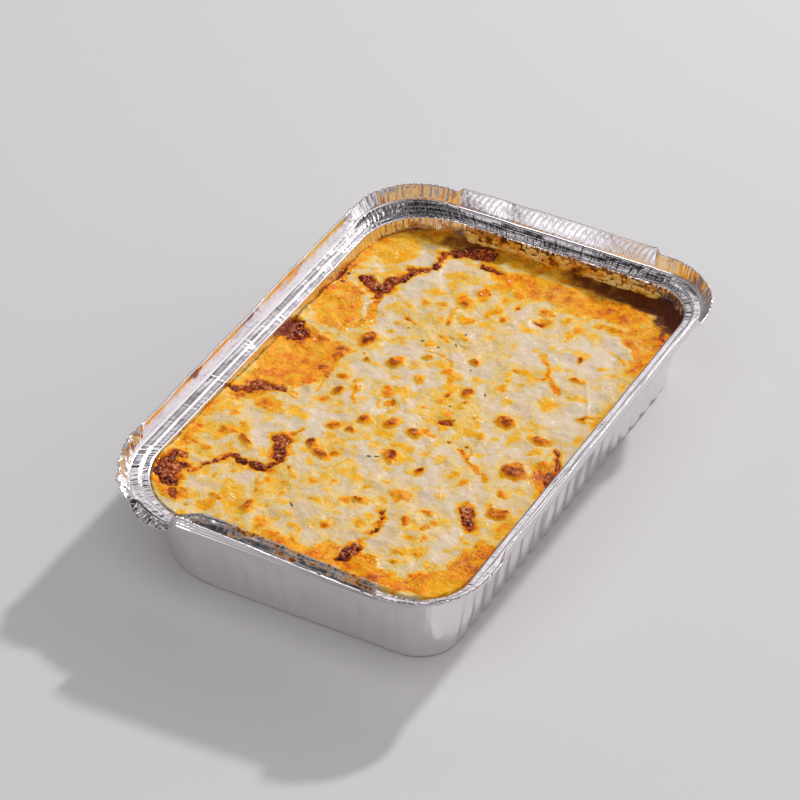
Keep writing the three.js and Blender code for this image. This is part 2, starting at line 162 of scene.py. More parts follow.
class Nodes:
    """Short calls for building the nodes of one material or world."""

    def __init__(self, owner):
        owner.use_nodes = True
        self.owner = owner
        self.tree = owner.node_tree

    def feed(self, socket, value):
        if hasattr(value, "is_output"):
            self.tree.links.new(value, socket)
        else:
            socket.default_value = value

    def add(self, kind, inputs, **settings):
        node = self.tree.nodes.new(kind)
        for key, value in settings.items():
            setattr(node, key, value)
        for key, value in inputs.items():
            self.feed(node.inputs[key], value)
        return node

    def shade(self, **values):
        """Feeds the shader by the short names of its sockets and gives the material."""
        shader = self.tree.nodes["Principled BSDF"]
        for key, value in values.items():
            self.feed(shader.inputs[SOCKETS[key]], value)
        return self.owner

    def attribute(self, name):
        return self.add("ShaderNodeAttribute", {}, attribute_name=name).outputs["Fac"]

    def place(self, kind="Object"):
        return self.add("ShaderNodeTexCoord", {}).outputs[kind]

    def noise(self, scale, detail=2.0, rough=0.5):
        """Noise from 0 to 1 whose features are about scale millimetres."""
        inputs = {"Vector": self.place(), "Scale": 1 / (scale * MM), "Detail": detail,
                  "Roughness": rough}
        return self.add("ShaderNodeTexNoise", inputs).outputs["Fac"]

    def math(self, operation, *values):
        return self.add("ShaderNodeMath", dict(enumerate(values)), operation=operation).outputs[0]

    def times(self, a, b, plus=0.0):
        return self.math("MULTIPLY_ADD", a, b, plus)

    def step(self, value, low, high):
        """A smooth step from 0 at low to 1 at high."""
        inputs = {"Value": value, "From Min": low, "From Max": high}
        node = self.add("ShaderNodeMapRange", inputs, interpolation_type="SMOOTHSTEP")
        return node.outputs["Result"]

    def mix(self, factor, a, b):
        inputs = {"Factor": factor, 6: a, 7: b}
        return self.add("ShaderNodeMix", inputs, data_type="RGBA").outputs[2]

    def ramp(self, value, stops):
        """Colours along a value, given as (value, colour) from low to high."""
        first, last = stops[0][0], stops[-1][0]
        inputs = {"Value": value, "From Min": first, "From Max": last}
        span = self.add("ShaderNodeMapRange", inputs).outputs["Result"]
        node = self.add("ShaderNodeValToRGB", {"Fac": span})
        elements = node.color_ramp.elements
        elements[0].color, elements[1].color = (*stops[0][1], 1), (*stops[-1][1], 1)
        for at, colour in stops[1:-1]:
            elements.new((at - first) / (last - first)).color = (*colour, 1)
        return node.outputs["Color"]

    def lobes(self, light, lobes):
        """Adds lights that fall off round a direction: towards, sharpness, strength."""
        for towards, sharpness, strength in lobes:
            inputs = {0: self.place("Generated"), 1: Vector(towards).normalized()}
            node = self.add("ShaderNodeVectorMath", inputs, operation="DOT_PRODUCT")
            facing = self.math("MAXIMUM", node.outputs["Value"], 0.0)
            light = self.times(self.math("POWER", facing, sharpness), strength, light)
        return light

    def bump(self, height, distance, strength=1.0):
        inputs = {"Strength": strength, "Distance": distance * MM, "Height": height}
        return self.add("ShaderNodeBump", inputs).outputs["Normal"]


def new_material(name):
    return Nodes(bpy.data.materials.new(name))


# ---- Camera, stage and light ----------------------------------------------------------

CAMERA_AZIMUTH = 151.303
CAMERA_ELEVATION = 37.835
CAMERA_DISTANCE = 1494.6
CAMERA_TARGET = (-24.119, 29.472, 0.0)
LENS = 175.6
SENSOR = 36.0
FLOOR_COLOUR = (0.66, 0.645, 0.65, 1)
FLOOR_HALF = 3.0                  # metres
# Lights: name, azimuth, elevation, distance and size in metres, power, mirrored by the foil.
LIGHTS = [("key", 11, 34, 2.2, 0.13, 30, True), ("fill", 165, 62, 2.6, 3.0, 28, False)]
# What the foil mirrors: a grey room, dark overhead, lit from behind and from the right.
# Each lobe has its direction, sharpness and strength.
ROOM_LEVEL = 0.10
ROOM_LOBES = [
    ((0.55, 0.75, 0.30), 5, 0.85), ((1.0, 0.1, 0.25), 4, 0.7), ((-0.3, -1.0, 0.05), 12, 0.60),
    ((-1.0, 0.3, 0.1), 6, 0.35), ((-0.1, 1.0, 0.05), 10, 0.5),
]
# Small bright patches, which the ledges, beads and crinkles pick up.
SPARKLE_LOBES = [
    ((0.25, 0.0, 1.0), 90, 1.2), ((-0.75, -0.35, 0.6), 60, 0.8), ((-0.38, -0.88, 0.29), 120, 2.6),
    ((-0.38, 0.69, 0.61), 60, 0.9), ((-0.38, -0.07, 0.92), 60, 1.1),
]
ROOM_COLOUR = (1.0, 0.975, 1.0, 1)
OVERHEAD = (0.55, 0.85)           # heights on the sky between which it darkens
OVERHEAD_DARKNESS = 0.85


def make_camera():
    data = bpy.data.cameras.new("camera")
    data.lens = LENS
    data.sensor_width = SENSOR
    data.clip_end = 20
    camera = place_object("camera", data)
    stand(camera, CAMERA_AZIMUTH, CAMERA_ELEVATION, CAMERA_DISTANCE * MM,
          to_frame(CAMERA_TARGET))
    bpy.context.scene.camera = camera


def make_floor():
    mesh = bpy.data.meshes.new("floor")
    corners = [(-1, -1), (1, -1), (1, 1), (-1, 1)]
    mesh.from_pydata([(x * FLOOR_HALF, y * FLOOR_HALF, 0) for x, y in corners], [], [(0, 1, 2, 3)])
    floor = place_object("floor", mesh)
    material = new_material("floor").shade(colour=FLOOR_COLOUR, roughness=0.85, specular=0.2)
    mesh.materials.append(material)


def make_light(name, azimuth, elevation, distance, size, power, mirrored):
    data = bpy.data.lights.new(name, "AREA")
    data.shape = "DISK"
    data.size = size
    data.energy = power
    light = place_object(name, data)
    light.visible_glossy = mirrored
    stand(light, azimuth, elevation, distance)


def make_world():
    n = Nodes(bpy.data.worlds.new("studio"))
    height = n.add("ShaderNodeSeparateXYZ", {0: n.place("Generated")}).outputs["Z"]
    dimmed = n.times(n.step(height, *OVERHEAD), -OVERHEAD_DARKNESS, 1.0)
    light = n.lobes(n.times(n.lobes(ROOM_LEVEL, ROOM_LOBES), dimmed), SPARKLE_LOBES)
    background = n.tree.nodes["Background"]
    n.feed(background.inputs["Color"], ROOM_COLOUR)
    n.feed(background.inputs["Strength"], light)
    bpy.context.scene.world = n.owner


make_camera()
make_floor()
for light in LIGHTS:
    make_light(*light)
make_world()

# ---- The tray's outline in plan -------------------------------------------------------

STATION_SPACING = 0.5             # along the rim, in the fine foil mesh
LEDGE_HEIGHT = RIM_HEIGHT - LEDGE_STEP
OUTER_LEDGE = LEDGE_WIDTH - INNER_LEDGE - STEP_RUN


def climb_at(z):
    return np.clip(z / LEDGE_HEIGHT, 0, 1)


def wall_inset(z):
    return LEDGE_WIDTH + WALL_TAPER * (1 - climb_at(z))


def arc_point(k, t, inset, climb):
    """A point of corner k at a share t of its arc."""
    rows = [[c["x"], c["y"], c["start"], c["rim"], c["wall"], c["floor"]] for c in CORNERS]
    side_x, side_y, first, rim, wall, floor = np.array(rows, dtype=float)[k].T
    upper = rim + (wall - rim) * np.clip(inset / LEDGE_WIDTH, 0, 1)
    radius = np.where(np.asarray(climb) < 1, floor + (wall - floor) * climb, upper)
    angle = np.radians(first + 90 * t)
    x = side_x * (TRAY_WIDTH / 2 - inset - radius) + radius * np.cos(angle)
    y = side_y * (TRAY_LENGTH / 2 - inset - radius) + radius * np.sin(angle)
    return x, y


def smoothed(values, width):
    """Values round the outline, averaged over about width millimetres."""
    half = max(1, round(width / 2 / STATION_SPACING))
    kernel = np.hanning(2 * half + 3)[1:-1]
    wrapped = np.concatenate([values[-half:], values, values[:half]])
    return np.convolve(wrapped, kernel / kernel.sum(), "valid")


class Outline:
    """Stations round the tray. Each knows its corner or side and how far along it lies."""

    def __init__(self):
        segment, share, arc = [], [], []
        self.length = 0.0
        for k, corner in enumerate(CORNERS):
            straight = TRAY_WIDTH if k % 2 else TRAY_LENGTH
            straight -= corner["rim"] + CORNERS[(k + 1) % 4]["rim"]
            for part, length in enumerate([math.pi / 2 * corner["rim"], straight]):
                count = round(length / STATION_SPACING)
                t = np.arange(count) / count
                segment.append(np.full(count, 2 * k + part))
                share.append(t)
                arc.append(self.length + t * length)
                self.length += length
        self.segment, self.t, self.s = map(np.concatenate, (segment, share, arc))
        self.count = len(self.s)
        self.k = self.segment // 2
        self.on_corner = self.segment % 2 == 0
        first = np.array([corner["start"] for corner in CORNERS])[self.k]
        angle = np.radians(first + 90 * np.where(self.on_corner, self.t, 1))
        self.nx, self.ny = np.cos(angle), np.sin(angle)

    def plan(self, inset, climb):
        """The outline's x and y at an inset from the rim's edge and a climb of the wall."""
        here = arc_point(self.k, np.where(self.on_corner, self.t, 1), inset, climb)
        there = arc_point((self.k + 1) % 4, np.zeros(self.count), inset, climb)
        share = np.where(self.on_corner, 0, self.t)
        return [a + (b - a) * share for a, b in zip(here, there)]

    def by_segment(self, values, blend=8):
        """One value for each corner and side in turn, blended over where they meet."""
        return smoothed(np.array(values, dtype=float)[self.segment], blend)

    def zigzag(self, width, seed, spread=0.45):
        """Pleats: a broken line between -1 and 1, of uneven widths and heights."""
        random = np.random.default_rng(seed)
        count = 2 * round(self.length / width)
        steps = random.uniform(1 - spread, 1 + spread, count)
        knots = np.cumsum(steps) / steps.sum() * self.length
        peaks = random.uniform(0.45, 1, count) * np.where(np.arange(count) % 2, 1, -1)
        return np.interp(self.s, knots, peaks, period=self.length)

    def wander(self, size, seed):
        """A smooth random line from -1 to 1 round the outline."""
        count = round(self.length / size)
        values = np.random.default_rng(seed).uniform(-1, 1, count)
        u = self.s / self.length * count
        i = np.floor(u).astype(int)
        f = smoothstep(0, 1, u - i)
        return values[i % count] * (1 - f) + values[(i + 1) % count] * f


# ---- Foil tray ------------------------------------------------------------------------

# Each list runs round the outline: near right corner, right side, far right corner, back,
# far left corner, left side, near left corner, front. Millimetres.
AMOUNTS = dict(
    flange_pleats=[0.40, 0.05, 0.26, 0.02, 0.50, 0.00, 0.45, 0.06],
    flange_crumples=[0.25, 0.05, 0.12, 0.03, 0.15, 0.04, 0.80, 0.08],
    outer_pleats=[0.08, 0.02, 0.12, 0.14, 0.30, 0.03, 0.14, 0.05],
    inner_pleats=[0.10, 0.03, 0.18, 0.20, 0.18, 0.04, 0.14, 0.08],
    ledge_crinkles=[0.20, 0.10, 0.30, 0.34, 0.32, 0.10, 0.34, 0.16],
    wall_pleats=[0.40, 0.25, 0.50, 0.50, 0.50, 0.30, 0.50, 0.15],
    wall_waves=[0.60, 0.40, 0.35, 0.20, 0.35, 0.25, 0.40, 0.28],
    wall_crumples=[0.55, 0.10, 0.25, 0.30, 0.30, 0.10, 0.45, 0.05],
    beads=[0.12, 0.10, 0.00, 0.00, 0.00, 0.15, 0.10, 0.60],
    ripples=[0, 0, 0, 0.07, 0, 0, 0, 0],
    fluted=[0, 1, 0, 1, 0, 1, 0, 0.6],
    smears=[0.0, 0.0, 0.55, 1.0, 0.6, 0.25, 0.2, 0.0],
)
BLENDS = dict(flange_pleats=5, flange_crumples=4)
PLEAT_WIDTH = 1.5                 # from a fold's crest to its valley
BEND = 0.4                        # radius of the bend between ledge and flange
HEM = 1.6                         # the flange's edge is folded over by this
HEM_BULGE = 0.28
BEAD_PLACES = (0.12, 0.38, 0.64, 0.90)  # along the flange's upright part
BEAD_WIDTH = 0.07
RIPPLE_LENGTH = 2.5
SHORT_WAVE, LONG_WAVE = 0.12, 0.25  # of the flange's free edge
PLEAT_TILT = 0.16                 # lean that a flange pleat adds, in radians
PLEAT_OUT, PLEAT_UP = 0.9, 0.6    # how far it moves the free edge
STRETCH = 0.12                    # of a noise along the tray, for lines that run lengthwise
# Stretches of the back ledge pressed down, as shares of the back side, and how far.
PRESSED_PLACES = [(0.08, 0.27), (0.56, 0.75)]
PRESSED = 0.6
HIDDEN_INSET = 0.6                # keeps the inner face off the outer one, below the food
LEAST_OUT = 0.05                  # keeps the outer face outside the food's edge
FOLD_START = 0.15                 # share of the side over which the fold widens
# Grease colour on the front's part bent over: partly baked-on grease, partly painted dark
# reflection.
FOLD_GREASE_AND_REFLECTION = 0.52
# Noises as amount, size and seed.
WALL_DENTS = [(1.0, 11, 21), (0.5, 5, 22)]
WALL_STAINS = [(1.0, 6, 26), (0.5, 2, 27)]
LEDGE_LINES = [(0.12, 0.9, 34)]
FLANGE_DENTS = [(0.7, 2.6, 28), (0.5, 1.3, 31)]
FLANGE_LIFT = [(0.8, 2.0, 29)]
FOLD_CREASES = [(0.16, 1.1, 33)]
# Where the rings of the mesh lie: heights of the outer wall, depths of the inner one below
# the ledge, insets of the ledges and shares of the flange's height.
OUTER_WALL = np.linspace(4, LEDGE_HEIGHT - 1.2, 11)
INNER_WALL = (0.5, 1.2, 2.0, 3.0, 4.0, 5.2, 6.6, 8.5, 18.0)
OUTER_LEDGE_RINGS = (0.5, 1.2, 1.9, 2.6)
INNER_LEDGE_RINGS = (0.5, 1.2, 1.9, 2.4)
OUTER_FLANGE = (*np.linspace(0.03, 0.63, 17), 0.72, 0.82, 0.92)
INNER_FLANGE = (0.95, 0.88, 0.8, 0.72, 0.62, 0.45, 0.25, 0.12, 0.04)


def flange_stand(outline):
    """The flange's lean outwards in radians, its height and the height of its knee, above
    which it is bent over, at each station."""
    lean, height, fold = np.zeros((3, outline.count))
    for k, (corner, side) in enumerate(zip(CORNERS, SIDES)):
        here = outline.segment == 2 * k
        share, leans, heights = np.array(corner["flange"]).T
        lean[here] = np.interp(outline.t[here], share, leans)
        height[here] = np.interp(outline.t[here], share, heights)
        here = outline.segment == 2 * k + 1
        t = outline.t[here]
        before, after = corner["flange"][-1], CORNERS[(k + 1) % 4]["flange"][0]
        first, last = side["flap"]
        on_flap = (t >= first) & (t <= last)
        folded = side["fold"] * smoothstep(0, FOLD_START, t)
        flap_lean = np.interp(t, (0, 1), side["lean"])
        flap_height = np.interp(t, (0, 1), side["height"]) - side["fold"] + folded
        lean[here] = np.where(on_flap, flap_lean, np.where(t < first, before[1], after[1]))
        height[here] = np.where(on_flap, flap_height, np.where(t < first, before[2], after[2]))
        fold[here] = np.where(on_flap, folded, 0)
    height = smoothed(height, 1.6)
    return np.radians(smoothed(lean, 2.2)), height, height - smoothed(fold, 1.6)


def foil_tray():
    outline = Outline()
    s = outline.s
    broad, broader = outline.wander(9, 13), outline.wander(24, 14)
    fold = outline.zigzag(PLEAT_WIDTH, 11) * (0.75 + 0.25 * broad) + 0.5 * outline.zigzag(2.6, 15)
    fine = outline.zigzag(1.1, 12)
    by = SimpleNamespace(**{key: outline.by_segment(values, BLENDS.get(key, 8))
                            for key, values in AMOUNTS.items()})
    by.outer_pleats = by.outer_pleats * smoothstep(0.5, -0.1, broader)
    pleats = by.flange_pleats * fold
    on_back = outline.segment == 3
    pressed = sum(on_back & (outline.t > a) & (outline.t < b) for a, b in PRESSED_PLACES)
    pressed = smoothed(pressed.astype(float), 2)
    lean, height, knee = flange_stand(outline)
    flutes = np.array([side["flutes"] for side in SIDES])[outline.k]
    flute = np.where(outline.on_corner, 0, np.abs(np.sin(np.pi * outline.t * flutes))) - 0.5
    flute = FLUTE_DEPTH * smoothed(flute, 1.2) * by.fluted
    rings, smeared = [], []

    def add(x, y, z, smear=0.0):
        rings.append(np.stack([x, y, z + 0 * x], axis=1))
        smeared.append(smear + 0 * x)

    def ring(inset, z, climb, shift=0.0, smear=0.0):
        x, y = outline.plan(inset, climb)
        add(x + shift * outline.nx, y + shift * outline.ny, z, smear)

    def wall(z, thick):
        """The wall at a height: fluted low down, pleated and crumpled under the ledge."""
        climb, depth = climb_at(z), LEDGE_HEIGHT - z
        inner = thick == 0
        creased = np.abs(noise(s, z * 0.8, 3.4, 24)) + 0.6 * np.abs(noise(s, z, 1.7, 25))
        high = smoothstep(0.3, 0.85, climb) if inner else smoothstep(0.1, 0.6, climb)
        dents = by.wall_waves * layered(s, z, WALL_DENTS) * smoothstep(0, 8, z)
        dents = (dents - by.wall_crumples * creased * high) * smoothstep(0, 5, depth)
        pleat = by.wall_pleats * fold * smoothstep(0.55, 0.97, climb) * smoothstep(0, 1.2, depth)
        shift = thick + (1 - climb) * flute + dents + pleat
        if inner:
            shift = shift - HIDDEN_INSET * smoothstep(7, 9, depth)
        else:
            shift = np.maximum(shift, LEAST_OUT)
        low = smoothstep(0.5, 5, depth) * 0.8 + 0.5
        stain = by.smears * low * smoothstep(-0.45, 0.5, layered(s, z, WALL_STAINS))
        ring(wall_inset(z), z, climb, shift, stain if inner else 0.0)

    def ledge(inset, z, thick):
        outer = z > RIM_HEIGHT - LEDGE_STEP / 2
        uneven = fine * (0.3 + 0.6 * noise(s, inset * 2, 3, 23)) + 0.25 * noise(s, inset, 1.4, 30)
        lift = (by.outer_pleats if outer else by.inner_pleats) * fold + by.ledge_crinkles * uneven
        lift = lift + layered(STRETCH * s, inset, LEDGE_LINES)
        if outer:
            lift = lift - PRESSED * pressed * inset / OUTER_LEDGE
        ring(inset + 0.08 * broad, z + lift - thick, 1.0)

    def flange(q, thick):
        """The flange at a share q of its height, bent up from the ledge's outer edge."""
        rise = q * height
        upright, over = np.minimum(rise, knee), np.maximum(rise - knee, 0)
        bent = np.minimum(1, rise / (BEND * 1.5))
        tilt = lean + pleats * PLEAT_TILT * smoothstep(0, 0.5, q) + 0.02 * broad
        tilt = tilt * bent + (1 - bent) * np.pi / 2
        # The bend, the upright part and the part bent over.
        creased = layered(STRETCH * s, rise, FOLD_CREASES) * smoothstep(0, 1, over)
        out = BEND * 0.5 * (1 - bent) + upright * np.sin(lean + (tilt - lean) * bent) * bent
        out = out + over * math.sin(math.radians(FOLD_LEAN)) + creased
        up = upright * np.cos(lean) * bent + over * math.cos(math.radians(FOLD_LEAN))
        # Waves, crumples and pleats.
        ripple = by.ripples * np.sin(2 * np.pi * (s / RIPPLE_LENGTH + 1.4 * q * q))
        out = out + (LONG_WAVE * broader + SHORT_WAVE * broad) * q
        out = out + ripple * smoothstep(0.05, 0.3, q) * smoothstep(0.95, 0.7, q)
        crumple = by.flange_crumples * smoothstep(0.05, 0.5, q) + 0.02 * over
        out = out + crumple * layered(s, rise, FLANGE_DENTS)
        up = up + crumple * layered(s, rise, FLANGE_LIFT) + by.flange_pleats * fine * 0.25 * q
        out = out + pleats * PLEAT_OUT * smoothstep(0, 1, q) * np.cos(lean)
        up = up - pleats * PLEAT_UP * smoothstep(0, 1, q) * np.sin(lean)
        # Beads and the hem, at right angles to the flange.
        bead = sum(np.exp(-((rise / knee - at) / BEAD_WIDTH) ** 2) for at in BEAD_PLACES)
        shift = thick + by.beads * bead * (1 if thick > 0 else 0.5)
        if thick > 0:
            shift = shift + HEM_BULGE * smoothstep(HEM, HEM - 0.35, height - rise)
        out = out + shift * np.cos(lean)
        x, y = outline.plan(0.0, 1.0)
        # The part bent over gets grease colour, partly baked-on grease and partly a painted dark
        # reflection.
        smear = FOLD_GREASE_AND_REFLECTION * (over > 0) * (0.85 + 0.4 * noise(0.15 * s, rise, 0.9, 32))
        add(x + out * outline.nx, y + out * outline.ny,
            RIM_HEIGHT + up - shift * np.sin(lean), smear)

    foot = wall_inset(FLOOR_ROUNDING)
    step_inset = LEDGE_WIDTH - INNER_LEDGE
    # Outside, from the table up.
    ring(foot + FLOOR_ROUNDING + 6, 0.0, 0.0)
    for turn in (0, 30, 60, 90):
        a = math.radians(turn)
        z = FLOOR_ROUNDING * (1 - math.cos(a))
        ring(foot + FLOOR_ROUNDING * (1 - math.sin(a)), z, climb_at(z), FOIL + flute * math.sin(a))
    for z in OUTER_WALL:
        wall(z, FOIL)
    ledge(LEDGE_WIDTH, LEDGE_HEIGHT, FOIL)
    ledge(step_inset, LEDGE_HEIGHT, FOIL)
    ledge(step_inset - STEP_RUN, RIM_HEIGHT, FOIL)
    ledge(0.6, RIM_HEIGHT, FOIL)
    for q in OUTER_FLANGE:
        flange(q, FOIL)
    flange(1.0, FOIL * 0.8)
    # Inside, from the flange's edge down to the floor.
    flange(1.0, -0.05)
    for q in INNER_FLANGE:
        flange(q, 0.0)
    for inset in OUTER_LEDGE_RINGS:
        ledge(inset, RIM_HEIGHT, 0)
    ledge(step_inset - STEP_RUN, RIM_HEIGHT - 0.1, 0)
    ledge(step_inset, LEDGE_HEIGHT + 0.1, 0)
    for inset in INNER_LEDGE_RINGS:
        ledge(step_inset + inset, LEDGE_HEIGHT, 0)
    for depth in INNER_WALL:
        wall(LEDGE_HEIGHT - depth, 0.0)
    wall(FLOOR_ROUNDING, 0.0)
    ring(foot + FLOOR_ROUNDING, FOIL, 0.0)

    points = np.concatenate([[[0, 0, 0]], *rings, [[0, 0, FOIL]]])
    index = 1 + np.arange(len(rings) * outline.count).reshape(len(rings), outline.count)
    after = np.roll(index, -1, axis=1)
    quads = np.stack([index[:-1], after[:-1], after[1:], index[1:]], axis=-1).reshape(-1, 4)
    fans = np.concatenate([
        np.stack([0 * index[0], after[0], index[0]], axis=1),
        np.stack([0 * index[0] + len(points) - 1, index[-1], after[-1]], axis=1),
    ])
    smear = np.concatenate([[0], *smeared, [0]])
    piece = make_mesh("foil", foil_material(), points, quads, fans, smear=smear)
    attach(piece, "root")
    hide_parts("tray")


FOIL_COLOUR = (0.88, 0.85, 0.87, 1)
# Grease colours; on the front's bent-over part they are partly painted dark reflection.
GREASE_AND_REFLECTION = (0.72, 0.30, 0.04, 1)
BURNT_GREASE_AND_REFLECTION = (0.16, 0.045, 0.010, 1)


def foil_material():
    """Bare foil, with cheese fat baked onto the walls above the food, and grease colour on the
    front's bent-over part that is partly a painted dark reflection.
    """
    n = new_material("foil")
    crinkle, spots = n.noise(3.8, 3), n.noise(2.5, 3, 0.65)
    smear = n.times(spots, 1.2, n.math("ADD", n.attribute("smear"), -0.6))
    covered = n.step(smear, 0.35, 0.6)
    grease_and_reflection = n.mix(n.step(spots, 0.5, 0.64), GREASE_AND_REFLECTION, BURNT_GREASE_AND_REFLECTION)
    return n.shade(colour=n.mix(covered, FOIL_COLOUR, grease_and_reflection),
                   metallic=n.times(covered, -0.85, 1.0), roughness=n.times(covered, 0.3, 0.14),
                   normal=n.bump(crinkle, 0.4, 0.25))


foil_tray()

# ---- The baked surface: where it browned, oiled, broke open --------------------------

FOOD_LEVEL = 29.4                 # mean height of the baked surface at the centre
LEVEL_RISE_X = 0.006
LEVEL_RISE_Y = -0.027             # the surface dips towards the far side
CHEESE_DEPTH = 8.0                # down to the sheet's hidden underside
CLEARANCE = 0.25                  # gap between the food's edge and the foil
SKIRT_INSET = 2.0                 # the food's hidden sides stay this far off the foil
# Broad swells and dips of the pasta sheets underneath: centre, radius, height.
SWELLS = [
    (-20, 62, 26, 1.1), (-52, 82, 18, -0.9), (-56, 4, 20, -1.2), (30, 40, 26, 0.9),
    (28, 84, 26, -0.8), (-6, -22, 24, 0.7), (-8, -66, 22, 0.9), (40, -74, 20, 0.8),
    (-40, 34, 12, -0.9), (62, -24, 10, -0.8),
]
# Each patch is (x, y, half length, half width, turn from +X in degrees, strength), the
# last two left out where they are 0 and 1. Each streak is (half width, point, point...).
ORANGE_PATCHES = [
    # back left
    (-64, 72, 3, 9), (-58, 51, 5, 3.5), (-54, 49, 3.5, 3), (-26, 64, 2.2, 2.2, 0, 0.7),
    (-27, 55.5, 1.8, 1.8), (-21, 57, 1.8, 1.8), (-20, 54, 1.5, 1.5, 0, 0.6), (-15, 65, 3.4, 3),
    (-10, 72, 3, 3.5), (-8, 67.5, 1.8, 1.8), (-1, 73, 1.5, 3), (-8, 53, 4, 2.5),
    (-1.5, 62, 3, 4.5, 0, 0.8), (3.5, 60, 1.2, 2), (-22, 77, 1.3, 1.3), (-16, 77, 1, 1, 0, 0.4),
    # back band
    (4, 86.5, 19, 7), (32, 87, 24, 7.5), (-63, 90, 3, 9), (-55, 96, 9, 3, 0, 0.7), (-6, 81, 5, 5),
    (2, 79, 4, 3.5), (-11, 88, 3, 3), (18, 84, 8, 6, 0, 0.8), (30, 85, 10, 6, 0, 0.95),
    (19, 79.5, 2, 1), (16, 73, 3, 3), (18, 68, 2.5, 2.5), (25.5, 72, 1.7, 2.2), (31.5, 69, 2, 3.5),
    (30, 63.5, 1.7, 2), (30, 60, 1, 1.5, 0, 0.5), (23, 59, 1.5, 1.5, 0, 0.4),
    (34, 63, 1.5, 1.5, 0, 0.4), (22, 79, 7, 3, 0, 0.7),
    # back right
    (62, 70, 5, 21), (57, 77, 8, 8), (38, 75, 2.2, 2), (44, 76, 3.5, 2), (51, 79, 3, 3),
    (47, 83, 5, 5, 0, 0.8), (61, 72, 5, 11), (60, 83, 5, 5), (50, 88, 5, 3), (57, 88, 4, 3),
    (64, 60, 3, 8),
    # left middle
    (-64.5, 60, 2.6, 34), (-56, 37, 10, 12, 0, 0.8), (-52, 1, 15, 19), (-54, 39, 4, 2.5),
    (-53, 30, 9, 6), (-53, 8, 13, 12), (-62, 8, 5, 14), (-44, 12, 6, 7), (-52, -7, 13, 8),
    (-56, -14, 8, 5), (-40.5, 15, 4, 2.5),
    # left lower
    (-48, -29, 7, 4), (-59, -25, 7, 8), (-55.5, -40.5, 2, 2), (-49, -45, 1.3, 2),
    (-64.5, -40, 1.5, 3), (-53, -50, 4.5, 3.5), (-62, -34, 3, 3, 0, 0.7), (-31.5, -16, 2, 1.2),
    (-32, -0.5, 3, 2), (-26.5, -1.5, 2, 2.3), (-30, -44, 2.5, 2), (-36, -64.5, 5, 2.5),
    (-38.5, -71, 1.5, 1.5), (-63, -44, 2, 5, 0, 0.7),
    # centre
    (1, 20, 1.5, 2), (-14, 7.5, 1.6, 1.6, 0, 0.6), (-12, -2, 2.5, 2.5), (-12.5, -29, 2, 1.8),
    (5, -33, 2, 2), (11.5, -17.5, 2, 2), (15, -17.5, 1.5, 1), (-10, -54, 1.5, 1.5, 0, 0.7),
    (3, -54, 1.5, 1.5, 0, 0.7), (8.5, -55.5, 2, 1.8), (13.5, -50, 1.5, 1.5),
    # centre right
    (8, 4, 3, 2.5), (14.5, -3, 2.5, 2.5), (22, 30, 1.5, 2), (23, 27, 1.5, 2), (25.5, 33.3, 4.5, 2),
    (47, 38.5, 2, 2), (43, 20.5, 3.5, 4.5, 0, 0.7), (23.7, 21.5, 2, 3.3), (35, 2.5, 4.8, 4.3),
    (50.8, -0.3, 4.2, 3), (51, -22, 5.6, 6.2), (65.5, 25, 2, 10), (64, 18.5, 1.5, 3),
    (62, -19, 5, 8), (60, -14, 5, 4), (65, -27, 2, 5), (38, -26.5, 2, 1.5), (33, -34, 1.5, 2),
    (38, -36.5, 1.3, 2), (33, -43.5, 1, 1, 0, 0.5), (53.5, -36, 3.6, 2, -25), (22.5, -54, 3, 4),
    (53.3, -44.5, 0.9, 0.9), (64.5, -53, 3, 10, 0, 0.8),
    # front
    (26, -99, 40, 4.5), (62, -82, 6, 19), (57, -93, 8, 9), (-64.5, -45, 2, 20, 0, 0.8),
    (-59, -61.5, 3, 1.8), (-54, -63, 3, 1.5), (-63, -60, 2, 9), (-42.5, -76.5, 1.2, 2.2),
    (-36, -87, 4, 2.5), (-37, -92, 3, 5), (-28, -86, 3, 3, 0, 0.7), (-21, -72, 5, 11, 0, 0.5),
    (-15.5, -75.5, 1, 2.5), (-9, -63, 1.4, 1.4), (-3, -59.5, 1.2, 1.8), (5, -66.5, 3, 2),
    (18.5, -55, 1.8, 1.8), (16.7, -77, 1.7, 2.7), (7, -82, 3, 2.6), (-3.3, -87.7, 1.6, 1.6, 0, 0.7),
    (-14, -92, 3, 4), (-5, -97, 6, 3), (3, -98, 7, 3), (14, -94, 5, 6), (28, -95, 7, 6),
    (40, -101, 14, 3), (35, -58.5, 2.5, 1.5), (40.5, -62.5, 1.5, 2), (39, -67.5, 1.8, 2),
    (31, -67, 3, 2, -45), (37, -75, 2, 1.2), (41.5, -73, 0.8, 2), (43, -81, 1.6, 1.3),
    (36.5, -83.5, 2, 1.5), (38.5, -88.5, 1.6, 1.3), (49.5, -92, 3, 3), (63, -76, 5, 13),
    (60, -87, 6, 7), (55, -96, 7, 6), (64, -68, 4, 5), (50, -98, 6, 4),
    # the corner that broke open
    (-57, -86, 10, 6, -55), (-62, -77, 5, 8), (-53, -92, 6, 4, -40), (-47, -91, 4, 3),
]
ORANGE_STREAKS = [
    (1.4, (-44.5, 50), (-44, 44), (-42, 38), (-44, 33), (-45, 30)),
    (0.8, (-15, 59), (-15.5, 56), (-15, 52), (-13, 47)),
    (1.6, (40, 75), (49, 74), (54, 70), (56, 68), (60, 62), (66, 53)),
    (1.1, (28, 47), (33, 41.5), (36.5, 35), (40, 32), (43, 29)),
    (0.9, (1.5, 22), (3, 18.5), (5, 15.5), (7, 12), (8.5, 7)), (0.8, (-25, -5), (-20, -14)),
    (0.9, (28, -20), (33, -24.5), (41, -29), (45, -32.5)), (1.2, (-66, 90), (-60, 98), (-48, 104)),
    (1.0, (57, 18), (64, 22)),
]
